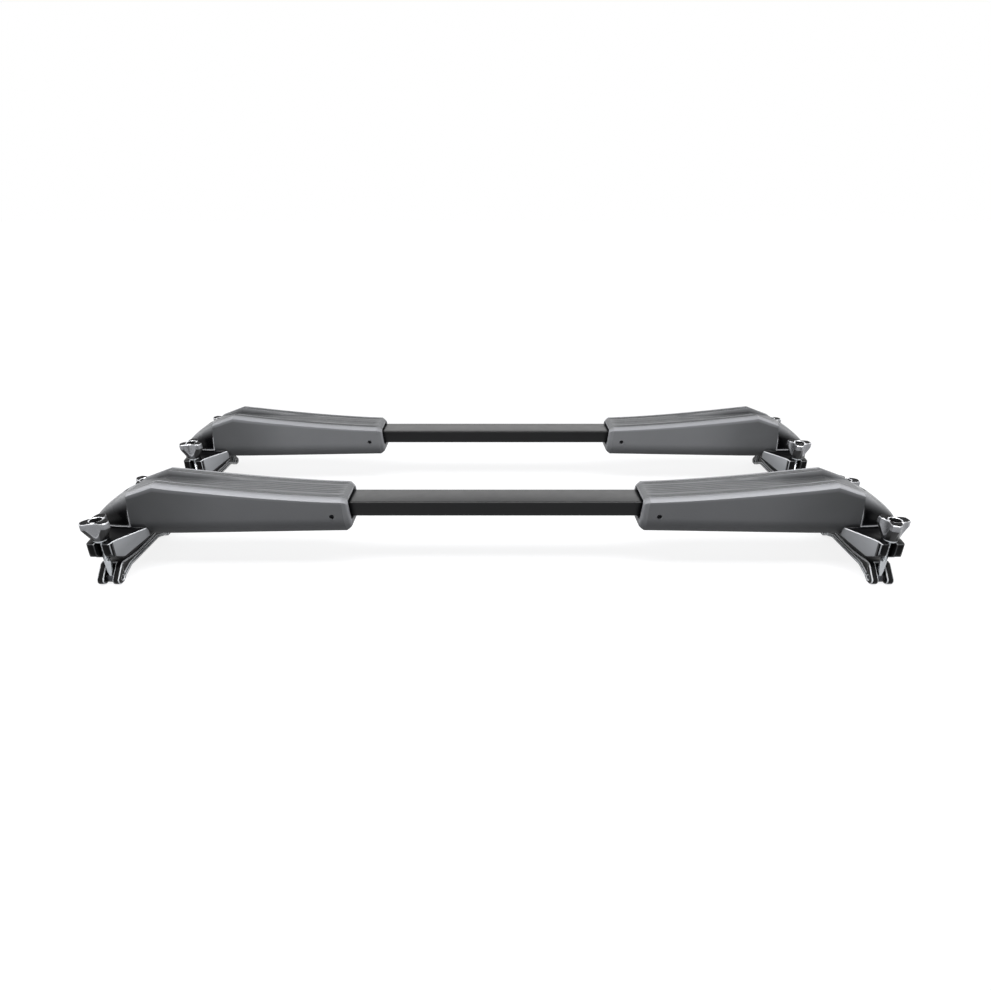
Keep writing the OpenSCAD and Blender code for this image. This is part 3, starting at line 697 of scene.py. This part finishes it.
def eva_foam():
    """Compression-moulded EVA foam: a matt skin, pebbled by the mould, with a low satin sheen.

    The pebbles are drawn about twice as coarse as they are, so that they show.
    """
    name = "moulded EVA foam, with painted highlights and shade"
    made, tree, shader = new_material(name, "#5c5d5f", 0.42, 0.22, ior=1.45)
    place = add_node(tree, "ShaderNodeTexCoord").outputs["Object"]
    settings = {"Scale": 1000.0 / FOAM_PEBBLE_MM, "feature": "SMOOTH_F1"}
    pebbles = add_node(tree, "ShaderNodeTexVoronoi", settings, {"Vector": place})
    settings = {"Strength": 0.2, "Distance": FOAM_PEBBLE_DEEP_MM / 1000.0}
    skin = add_node(tree, "ShaderNodeBump", settings, {"Height": pebbles.outputs["Distance"]})
    # Painted light: the dark stop is painted shade, the pale stop a painted highlight.
    stops = [(0.0, "#1c1d1e"), (0.5, "#5c5d5f"), (1.0, "#717275")]
    tree.links.new(painted_light_ramp(tree, stops, 35.0), shader.inputs["Base Color"])
    tree.links.new(clouded(tree, 9.0, 0.4, 0.44), shader.inputs["Roughness"])
    tree.links.new(skin.outputs[0], shader.inputs["Normal"])
    return made


def pad_stations():
    """Stations along a pad: close on the rounded end, at the peak, the step and the outer end."""
    end = PAD_IN_X + PAD_END_LONG * np.linspace(0.0, 1.0, 13) ** (1.0 / PAD_END_BEND)
    body = np.linspace(PAD_IN_X + PAD_END_LONG + 2.0, PAD_PEAK_X - 2.0, 76)
    peak = PAD_PEAK_X + np.array([-1.0, -0.4, 0.0, 0.4, 1.0, 2.0])
    slope = np.linspace(PAD_PEAK_X + 4.0, PAD_STEP_X - 1.0, 7)
    step = np.array([PAD_STEP_X - 0.01, PAD_STEP_X + 0.01])
    rest = np.linspace(PAD_STEP_X + 2.0, PAD_OUT_X - 0.5, 9)
    return np.concatenate([end, body, peak, slope, step, rest, [PAD_OUT_X]])


def key_drill():
    """The drill for the lock screw's hole: a circle carried along y, closed to a point at each end."""
    angle = np.radians(np.linspace(0.0, 360.0, 49)[:-1])
    circle = np.stack([np.cos(angle), 0.0 * angle, np.sin(angle)], -1)
    rows = []
    for radius, y in ((0.0, KEY_FROM), (KEY_HOLE_R, KEY_FROM), (KEY_HOLE_R, KEY_TO), (0.0, KEY_TO)):
        rows.append(radius * circle + [KEY_HOLE_X, y, KEY_HOLE_Z])
    return np.stack(rows)


foam = eva_foam()
pad_outside = pad_skin(pad_stations())
pad_inside = pad_cavity(pad_outside[[-1, 0]])
pad_shell = np.concatenate([pad_outside, pad_inside])
drill = key_drill()
for unit, side, arm in ARMS:
    pad = surface(f"{arm}_foam_pad", [(in_arm(pad_shell, unit, side), True, True, 0)], [foam])
    cut_away(pad, [(in_arm(drill, unit, side), False, True, 0)], PAD_SHARP)
    # Painted highlights and painted shade, kept on the foam's corners.
    keep_painted_light(pad, foam_painted_light(*corners_of(pad, unit)))
    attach(pad, f"{arm}_arm")
    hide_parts(f"{arm}_pad")

# Hoods
# A thin glossy ABS shell closes each arm's outer end: arched over the jaw, round in plan,
# with a rolled foot and a small slot in its top next to the pad.
HOOD_FOOT = -29.0
HOOD_HALF = 31.0
HOOD_LEN = 59.0
HOOD_STEP = 2.0
HOOD_WALL = 2.4
HOOD_GAP = 0.3
HOOD_LEAN = 3.0
HOOD_LIP = 0.9
HOOD_FOOT_LIP_Z = 1.6
HOOD_PAD_LIP_X = 1.8
HOOD_ROUND = 0.62
HOOD_PLAN = 2.6
HOOD_TIP_BEND = 1.8
HOOD_FOOT_ROWS = (0.01, 0.02, 0.035, 0.05, 0.08)
HOOD_CROWN_START = 1.35
HOOD_CROWN_END = 0.85
# The two rims below are painted highlights, at the foot and beside the pad.
HOOD_FOOT_RIM = (1.0, 2.2)
HOOD_PAD_RIM = (0.6, 1.4)
HOOD_SLOT = (467.5, 473.0)
HOOD_SLOT_HALF = 5.0
HOOD_SLOT_Z = (2.0, 30.0)
# The grey painted reflection where the hood looks up.
HOOD_TOP_REFLECTION = 0.6


def hood_lean(z):
    """How far the hood's edge beside the pad leans outward: evenly from its top to its foot."""
    return HOOD_LEAN * (PAD_TOP_OUT - z) / (PAD_TOP_OUT - HOOD_FOOT)


def hood_skin():
    """The hood's outside: at each station along x an arch whose sides follow a superellipse.

    The crown falls and the width closes as powers of the way to the tip. A lip flares along the
    foot and one beside the pad, each a bell curve of the distance from it. The rows lie closer
    at the foot, so that its lip keeps its shape.
    """
    tip = 1.0 - (1.0 - np.linspace(0.0, 1.0, 44)[2:]) ** HOOD_TIP_BEND
    t = np.concatenate([np.linspace(0.0, 0.06, 9), 0.999 * tip])[:, None]
    foot = np.arcsin(np.array(HOOD_FOOT_ROWS) ** (1.0 / HOOD_ROUND))
    over = np.radians(np.linspace(2.5, 177.5, 71))
    angle = np.concatenate([[0.0], foot, over, np.pi - foot[::-1], [np.pi]])[None, :]
    across = -np.cos(angle)
    rise = np.sin(angle)
    rise[:, [0, -1]] = 0.0
    half = HOOD_HALF * np.sqrt(1.0 - t**HOOD_PLAN)
    crown = (PAD_TOP_OUT - HOOD_STEP - HOOD_FOOT) * (1.0 - t**HOOD_CROWN_START) ** HOOD_CROWN_END
    y = half * np.sign(across) * np.abs(across) ** HOOD_ROUND
    z = HOOD_FOOT + crown * rise**HOOD_ROUND
    foot_lip = HOOD_LIP * bell(z, HOOD_FOOT, HOOD_FOOT_LIP_Z)
    pad_lip = HOOD_LIP * bell(HOOD_LEN * t, 0.0, HOOD_PAD_LIP_X) * np.abs(across) ** 2
    x = PAD_OUT_X + HOOD_GAP + HOOD_LEN * t + hood_lean(z) * (1.0 - ramp(t, 0.0, 0.5))
    return np.stack([x, y + np.sign(across) * (foot_lip + pad_lip), z], -1)


def gloss_abs():
    """Injection-moulded ABS: black with a broad gloss over faint sink waves, and a grey painted
    reflection where it looks up.
    """
    name = "glossy black ABS, greyed on top by weather"
    made, tree, shader = new_material(name, "#09090a", 0.26, 0.1, ior=1.53)
    # Painted light: black sides, a grey painted reflection on top, pale painted highlights on the rims.
    stops = [(0.0, "#040405"), (HOOD_TOP_REFLECTION, "#58595b"), (1.0, "#8a8b8e")]
    tree.links.new(painted_light_ramp(tree, stops, 30.0), shader.inputs["Base Color"])
    tree.links.new(clouded(tree, 14.0, 0.24, 0.29), shader.inputs["Roughness"])
    press_grain(tree, shader, 24.0, 0.03, 0.3)
    return made


def hood_painted_light(places, normals):
    """The hood's painted light: black sides, a grey painted reflection where it looks up, and painted
    highlights as bright rims at the foot and the pad.
    """
    x, z, up = places[:, 0], places[:, 2], normals[:, 2]
    foot_rim = 1.0 - ramp(z - HOOD_FOOT, *HOOD_FOOT_RIM)
    pad_rim = 1.0 - ramp(x - PAD_OUT_X - HOOD_GAP - hood_lean(z), *HOOD_PAD_RIM)
    rim = np.maximum(foot_rim, pad_rim) * (up > -0.5)
    return np.maximum(rim, HOOD_TOP_REFLECTION * ramp(up, 0.15, 0.8))


def slot_cutter():
    """The cutter for the hood's slot: an oblong carried along z, closed to a point at each end."""
    middle = np.array([sum(HOOD_SLOT) / 2, 0.0])
    reach = np.array([(HOOD_SLOT[1] - HOOD_SLOT[0]) / 2, HOOD_SLOT_HALF])
    oblong = reach * [(-1, -1), (1, -1), (1, 1), (-1, 1)]
    low, high = HOOD_SLOT_Z
    rows = []
    for size, z in ((0.0, low), (1.0, low), (1.0, high), (0.0, high)):
        rows.append(np.concatenate([middle + size * oblong, np.full((4, 1), z)], 1))
    return np.stack(rows)


gloss_black = gloss_abs()
hood_outside = hood_skin()
slot_tool = slot_cutter()
for unit, side, arm in ARMS:
    outside = in_arm(hood_outside, unit, side)
    hood = surface(f"{arm}_shell", [(outside, False, False, 0)], [gloss_black])
    wall = hood.modifiers.new("wall", "SOLIDIFY")
    wall.thickness = HOOD_WALL / 1000.0
    wall.offset = -1.0
    applied(hood)
    finish_mesh(hood.data)
    cut_away(hood, [(in_arm(slot_tool, unit, side), False, True, 0)])
    # Painted reflection and painted highlights, kept on the hood's corners.
    keep_painted_light(hood, hood_painted_light(*corners_of(hood, unit)))
    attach(hood, f"{arm}_arm")
    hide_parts(f"{arm}_hood")

# Upper jaws and saddles
# The clamp's upper half is moulded in glass-filled nylon, with forked ends for the bolts.
# A rubber saddle lines its arch, where the car's crossbar sits.
# The flanks' painted light runs from darker, inboard, to lighter toward the clamp bolts.
FLANK_DARK_X = 405.0
FLANK_PALE_X = 462.0


def face_places(mesh):
    """Middles in metres and normals of a mesh's faces, and their material numbers, as arrays."""
    count = len(mesh.polygons)
    middles = np.empty(3 * count)
    normals = np.empty(3 * count)
    held = np.empty(count, np.int32)
    mesh.polygons.foreach_get("center", middles)
    mesh.polygons.foreach_get("normal", normals)
    mesh.polygons.foreach_get("material_index", held)
    return middles.reshape(-1, 3), normals.reshape(-1, 3), held


def paint_flanks(piece, flank_paint, bright):
    """Gives the jaw's two upright flanks, which look inward, their own paint and a painted highlight
    along the top edge.
    """
    mesh = piece.data
    for material in (flank_paint, bright):
        mesh.materials.append(material)
    middles, normals, held = face_places(mesh)
    inward = -np.sign(middles[:, 0]) * normals[:, 0]
    held[(inward > 0.7) & (np.abs(normals[:, 1]) > 0.5) & (held == 0)] = 2
    held[(inward > 0.2) & (normals[:, 2] > 0.2) & (held == 1)] = 3
    mesh.polygons.foreach_set("material_index", held)
    mesh.update()


def side_plate():
    """Grey paint on the jaw's side plates: satin, with painted light that makes it lighter toward the
    clamp bolts.
    """
    made, tree, shader = new_material("grey painted side plate", "#7c7e81", 0.33, 0.5)
    stops = [(0.0, "#404144"), (1.0, "#7e8083")]
    tree.links.new(painted_light_ramp(tree, stops, 22.0), shader.inputs["Base Color"])
    press_grain(tree, shader, 0.9, 0.008, 0.6)
    return made


# Glass-filled nylon: near black, with hardly a shine on its flats.
jaw_nylon = moulded_plastic("satin glass-filled nylon", "#060607", "#09090a", 0.34, 0.7, 0.012, 0.06)
# The same nylon on its rounded edges: a shade lighter, as a painted highlight.
soft_edge_highlight = moulded_plastic("nylon edge, soft painted highlight", "#2a2b2d", "#333436", 0.3, 0.9, 0.005, 0.3)
# Painted highlights on edges: bright lines round the flats.
bright_edge_highlight = moulded_plastic(
    "nylon edge, bright painted highlight", "#a8aaad", "#b2b4b7", 0.28, 0.9, 0.005, 0.5
)
# Rubber: dull black, with no clear reflection.
saddle_rubber = moulded_plastic("moulded EPDM rubber", "#121213", "#19191a", 0.7, 0.9, 0.03, 0.2)
flank_grey = side_plate()
for unit, _, arm in ARMS:
    # The jaw's eased edges carry a soft painted highlight.
    jaw = eased_copy(f"{arm}_upper_jaw", f"{arm}_jaw_top", jaw_nylon, 0.9, 3, soft_edge_highlight)
    paint_flanks(jaw, flank_grey, bright_edge_highlight)
    # Painted light on the flanks: lighter toward the clamp bolts.
    keep_painted_light(jaw, ramp(corners_of(jaw, unit)[0][:, 0], FLANK_DARK_X, FLANK_PALE_X))
    saddle = eased_copy(f"{arm}_saddle", f"{arm}_saddle_lining", saddle_rubber, 0.5)

# Lower jaws and their pins
# The lower half is a forked nylon beam with a raised lip round the recess in each side.
# Turned steel pins across the forks, blackened like the screws, carry the bolts' eyes.

# The beam's nylon: near black, with a faint satin shine.
beam_nylon = moulded_plastic("black glass-filled nylon", "#060607", "#09090a", 0.3, 0.7, 0.01, 0.12)
for _, _, arm in ARMS:
    # The beam's eased edges carry a bright painted highlight.
    beam = eased_copy(f"{arm}_lower_jaw", f"{arm}_jaw_beam", beam_nylon, 1.1, 3, bright_edge_highlight)
    pins = eased_copy(f"{arm}_jaw_pins", f"{arm}_pins", screw_black, 0.4)

# Clamp bolts
# Forged eyebolts, M8, zinc plated bright, with a short plain shank and rolled threads; the eye is drawn
# dark, as painted shade.
# The thread's crests and roots are drawn half as deep again, so that they show.
CLAMP_X = 479.0
BOLT_Y = 60.5
BOLT_R = 3.95
PIN_DEPTH = -85.0
BOLT_TIP = -12.0
SHANK_FOOT = -80.4
THREAD_FROM = -62.0
THREAD_PITCH = 1.25
THREAD_DEEP = 0.6
THREAD_ROW = 0.2
THREAD_RUN_IN = 3.0
TIP_LONG = 1.5
TIP_TAPER = 0.9
EYE_R = 5.6
EYE_EASE = 0.9
EYE_BORE_R = 3.06
EYE_HALF = 4.7
CLAMP_ENDS = [(*place, end) for place in ARMS for end in ("fore", "aft")]


def zinc_plate():
    """Bright zinc on steel: a pale metal with a faint blue cast and a lightly clouded gloss."""
    made, tree, shader = new_material("bright zinc plated steel", "#a6a9ac", 0.2, 0.5, metallic=1.0)
    tree.links.new(drifting(tree, 6.0, "#a1a4a7", "#abaeb1"), shader.inputs["Base Color"])
    tree.links.new(clouded(tree, 6.0, 0.18, 0.24), shader.inputs["Roughness"])
    return made


def bolt_shank():
    """A rod along z whose radius dips by a triangle wave that climbs one pitch a turn: the thread."""
    plain = np.linspace(SHANK_FOOT, THREAD_FROM, 8)
    threaded = np.arange(THREAD_FROM + THREAD_ROW, BOLT_TIP, THREAD_ROW)
    z = np.concatenate([plain, threaded])
    angle = np.radians(np.linspace(0.0, 360.0, 25)[:-1])
    height, turn = np.meshgrid(z, angle, indexing="ij")
    phase = np.mod(height / THREAD_PITCH - turn / (2 * np.pi), 1.0)
    crest = np.abs(2.0 * phase - 1.0)
    run_in = ramp(height, THREAD_FROM, THREAD_FROM + THREAD_RUN_IN)
    run_out = ramp(height, BOLT_TIP - TIP_LONG, BOLT_TIP)
    radius = BOLT_R - THREAD_DEEP * run_in * (1.0 - crest) - TIP_TAPER * run_out
    skin = np.stack([radius * np.cos(turn), radius * np.sin(turn), height], -1)
    foot = np.broadcast_to([0.0, 0.0, z[0]], (1, 24, 3))
    tip = np.broadcast_to([0.0, 0.0, z[-1]], (1, 24, 3))
    return np.concatenate([foot, skin, tip]) + [CLAMP_X, -BOLT_Y, 0.0]


def bolt_eye():
    """The eye: a closed rounded-rectangle profile spun about the pin's axis, which lies along x."""
    near = [(-EYE_HALF, EYE_BORE_R), (-EYE_HALF, EYE_R - EYE_EASE)]
    near += [(-EYE_HALF + EYE_EASE / 3, EYE_R - EYE_EASE / 3), (-EYE_HALF + EYE_EASE, EYE_R)]
    profile = np.array(near + [(-x, radius) for x, radius in reversed(near)])
    angle = np.radians(np.linspace(0.0, 360.0, 49)[:-1])[None, :]
    x = np.repeat(profile[:, :1], 48, 1)
    radius = profile[:, 1:]
    ring = np.stack([x, radius * np.cos(angle), radius * np.sin(angle)], -1)
    return ring + [CLAMP_X, -BOLT_Y, PIN_DEPTH]


def at_end(points, end):
    """Fore pieces lie at minus y; aft pieces are their mirror images."""
    return points * [1.0, -1.0 if end == "aft" else 1.0, 1.0]


zinc = zinc_plate()
shank = bolt_shank()
eye = bolt_eye()
for unit, side, arm, end in CLAMP_ENDS:
    grids = [
        (in_arm(at_end(shank, end), unit, side), False, True, 0),
        # The eye takes the black oxide as painted shade.
        (in_arm(at_end(eye, end), unit, side), True, True, 1),
    ]
    bolt = surface(f"{arm}_eyebolt_{end}", grids, [zinc, screw_black])
    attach(bolt, f"{arm}_bolt_{end}")
    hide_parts(f"{arm}_bolt_{end}")
    washer = eased_copy(f"{arm}_washer_{end}", f"{arm}_plain_washer_{end}", zinc, 0.25)

# Clamp knobs
# Three-lobed nuts, die cast in zinc and satin chromed, flaring from a round foot.
# Glossy black inlays cover the top of each lobe and the recess round the bolt.
KNOB_Z = -29.2
KNOB_H = 25.0
KNOB_R = 18.25
LOBE_R = 6.5
KNOB_FOOT_R = 9.0
SCALLOP_R = 17.0
SCALLOP_IN = 10.25
HUB_R = 7.0
HUB_DEEP = 3.0
KNOB_BORE_R = 4.05
KNOB_FLARE_Z = 17.0
KNOB_FLARE_BEND = 0.95
KNOB_EASE = ((0.25, 1.6), (0.8, 0.6), (1.5, 0.15), (2.0, 0.0))
INLAY_EDGE = 1.15
INLAY_HUB = 0.9
INLAY_DEGREES = 47.0
INLAY_DEEP = 0.25
INLAY_PROUD = 0.65
DISH_RINGS = ((4.2, 0.1), (4.6, 0.9), (6.2, 1.0), (6.9, 1.8), (6.9, 0.05), (4.2, 0.05))
KNOB_SHARP = 40.0
# The next four shape the chrome's painted highlights on ridges and rim, and its painted shade low on
# the lobes.
RIDGE_BRIGHT = 0.3
RIDGE_FROM_Z = 4.0
RIM_BRIGHT_Z = (KNOB_H - 2.2, KNOB_H - 0.8)
LOBE_PALE_Z = (9.0, 20.0)
KNOB_TURN = {"left": 114.0, "right": 38.0}


def knob_outline(angle, flare):
    """Radii of the knob's hull round its three lobes and of the scallops between them, by angle.

    flare blends the hull from the round foot, at nought, to the full lobes, at one. Angles count
    from a lobe. The skin follows the nearer of the two.
    """
    off = np.mod(angle + np.pi / 3, 2 * np.pi / 3) - np.pi / 3
    lobe_at = KNOB_R - LOBE_R
    under = np.clip(LOBE_R**2 - (lobe_at * np.sin(off)) ** 2, 0.0, None)
    lobe = lobe_at * np.cos(off) + np.sqrt(under)
    tangent = (LOBE_R + lobe_at * 0.5) / np.cos(np.abs(off) - np.pi / 3)
    hull = np.minimum(np.maximum(lobe, tangent), KNOB_R)
    hull = KNOB_FOOT_R + (hull - KNOB_FOOT_R) * flare
    away = np.pi / 3 - np.abs(off)
    centre = SCALLOP_IN + SCALLOP_R
    inside = np.clip(SCALLOP_R**2 - (centre * np.sin(away)) ** 2, 0.0, None)
    scallop = np.where(inside > 0, centre * np.cos(away) - np.sqrt(inside), 99.0)
    return hull, scallop + 0.0 * hull


def knob_flare(height):
    """The hull's blend by height: from the round foot to full lobes at KNOB_FLARE_Z."""
    return np.clip(height / KNOB_FLARE_Z, 0.0, 1.0) ** KNOB_FLARE_BEND


def knob_grid():
    """The knob's skin: outlines stacked from the foot up, eased in at the top, then in to the bore."""
    angle = np.radians(np.linspace(0.0, 360.0, 145)[:-1])[None, :]
    flared = np.linspace(1.2, KNOB_FLARE_Z, 14)
    levels = np.concatenate([[0.0, 0.6], flared, [18.5, 20.5, 22.5]])[:, None]
    radius = np.minimum(*knob_outline(angle, knob_flare(levels)))
    top_r = np.minimum(*knob_outline(angle, np.ones((1, 1))))
    rings = [radius] + [top_r - inset for inset, _ in KNOB_EASE]
    heights = [np.broadcast_to(levels, radius.shape)]
    heights += [np.full_like(top_r, KNOB_H - drop) for _, drop in KNOB_EASE]
    dish = KNOB_H - HUB_DEEP
    bore = [(HUB_R + 0.5, KNOB_H), (HUB_R, KNOB_H - 0.5), (HUB_R, dish), (KNOB_BORE_R + 0.25, dish)]
    bore += [(KNOB_BORE_R, dish - 0.3), (KNOB_BORE_R, 0.3), (KNOB_BORE_R + 0.35, 0.0)]
    for ring, z in bore:
        rings.append(np.full_like(top_r, ring))
        heights.append(np.full_like(top_r, z))
    radius = np.concatenate(rings)
    height = np.concatenate(heights)
    angle = np.broadcast_to(angle, radius.shape)
    return np.stack([radius * np.sin(angle), radius * np.cos(angle), height], -1)


def inlay_grid(lobe):
    """One lobe's black inlay: a patch from the hub to the lobe's rim, with a round edge all round.

    The edge rises as a quarter circle over the outer sixth of the patch's length and breadth.
    """
    across = np.linspace(-1.0, 1.0, 25)[None, :]
    outward = np.linspace(0.0, 1.0, 13)[:, None]
    off = across * np.radians(INLAY_DEGREES)
    rim = np.minimum(*knob_outline(off, np.ones((1, 1)))) - INLAY_EDGE
    hub = HUB_R + INLAY_HUB
    radius = hub + (np.maximum(rim, hub + 0.2) - hub) * outward
    angle = off + 2 * np.pi / 3 * lobe
    edge = np.minimum(np.minimum(outward, 1.0 - outward), 1.0 - np.abs(across)) * 6.0
    swell = np.sqrt(np.clip(1.0 - (1.0 - np.clip(edge, 0, 1)) ** 2, 0, 1))
    height = KNOB_H - INLAY_DEEP + INLAY_PROUD * swell
    return np.stack([radius * np.sin(angle), radius * np.cos(angle), height + 0.0 * radius], -1)


def hub_grid():
    """The black dish in the hub's recess: a shallow ring that rises to the rim."""
    angle = np.radians(np.linspace(0.0, 360.0, 73)[:-1])[None, :]
    ring, above = np.array(DISH_RINGS).T[:, :, None]
    height = KNOB_H - HUB_DEEP + above
    return np.stack([ring * np.sin(angle), ring * np.cos(angle), height + 0.0 * angle], -1)


def turned(points, degrees):
    """Turns points about the knob's own axis and sets them on the bolt."""
    turn = math.radians(degrees)
    across, along = points[..., 0], points[..., 1]
    x = across * math.cos(turn) - along * math.sin(turn)
    y = across * math.sin(turn) + along * math.cos(turn)
    return np.stack([x + CLAMP_X, y - BOLT_Y, points[..., 2] + KNOB_Z], -1)


def knob_painted_light(points):
    """The casting's painted light: painted highlights along the scallops' edges and the top rim.

    The edges are where hull and scallop meet. The lobes between them darken toward the foot, as painted
    shade.
    """
    height = points[:, 2]
    hull, scallop = knob_outline(np.arctan2(points[:, 0], points[:, 1]), knob_flare(height))
    ridge = bell(hull, scallop, RIDGE_BRIGHT) * (height > RIDGE_FROM_Z)
    rim = ramp(height, *RIM_BRIGHT_Z)
    plain = np.where(scallop < hull, 0.65, 0.15 + 0.5 * ramp(height, *LOBE_PALE_Z))
    return np.maximum(np.maximum(rim, ridge), plain)


def own_frame(knob, unit, side, end):
    """A knob's corners turned back to the frame in which its outline is drawn."""
    places = at_end(corners_of(knob, unit)[0], end) - [CLAMP_X, -BOLT_Y, KNOB_Z]
    turn = math.radians(KNOB_TURN[side])
    across = places[:, 0] * math.cos(turn) + places[:, 1] * math.sin(turn)
    along = places[:, 1] * math.cos(turn) - places[:, 0] * math.sin(turn)
    return np.stack([across, along, places[:, 2]], -1)


def satin_chrome():
    """Satin chrome over a zinc casting: softly bright metal, with painted highlights and painted shade
    in its colour.
    """
    made, tree, shader = new_material("satin chromed zinc casting, with painted light", "#88898c", 0.27, 0.5, metallic=0.7)
    # Painted light: the dark stop is painted shade, the pale stop a painted highlight.
    stops = [(0.0, "#2c2d2f"), (0.6, "#747578"), (1.0, "#b4b5b8")]
    tree.links.new(painted_light_ramp(tree, stops, 14.0), shader.inputs["Base Color"])
    tree.links.new(clouded(tree, 14.0, 0.25, 0.3), shader.inputs["Roughness"])
    return made


def paint_underside_shade(piece):
    """Gives the faces that look down, under the lobes, a dark colour in place of the chrome: painted
    shade.
    """
    mesh = piece.data
    _, normals, held = face_places(mesh)
    held[(normals[:, 2] < -0.25) & (held == 0)] = 2
    mesh.polygons.foreach_set("material_index", held)
    mesh.update()


chrome = satin_chrome()
# Painted shade under the lobes: black, with a soft sheen.
underside_shade_paint = moulded_plastic("painted shade under the lobes", "#141415", "#19191a", 0.35, 0.7, 0.01, 0.25)
# The inlays' ABS: deep black, with almost no shine, so that the chrome round it stands out.
inlay_black = moulded_plastic("black ABS inlay", "#070708", "#0a0a0b", 0.5, 0.7, 0.005, 0.03)
# Chrome reaches over the top to the hub's rounded edge, and the bore inside it is black.
knob_skin = knob_grid()
rim_row = int(np.argmax(knob_skin[:, 0, 2] >= KNOB_H)) + 2
knob_outside = knob_skin[: rim_row + 1]
knob_bore = np.concatenate([knob_skin[rim_row:], knob_skin[:1]])
hub_dish = hub_grid()
knob_parts = [(knob_outside, False, True, 0), (knob_bore, False, True, 1)]
knob_parts += [(hub_dish, True, True, 1)]
knob_parts += [(inlay_grid(lobe), False, False, 1) for lobe in range(3)]
for unit, side, arm, end in CLAMP_ENDS:
    grids = []
    for points, ring_rows, ring_columns, number in knob_parts:
        placed = at_end(turned(points, KNOB_TURN[side]), end)
        grids.append((in_arm(placed, unit, side), ring_rows, ring_columns, number))
    finishes = [chrome, inlay_black, underside_shade_paint]
    knob = surface(f"{arm}_lobed_knob_{end}", grids, finishes, KNOB_SHARP)
    # Painted shade on the faces that look down.
    paint_underside_shade(knob)
    # Painted highlights and painted shade, kept on the knob's corners.
    keep_painted_light(knob, knob_painted_light(own_frame(knob, unit, side, end)))
    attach(knob, f"{arm}_knob_{end}")
    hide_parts(f"{arm}_knob_{end}")
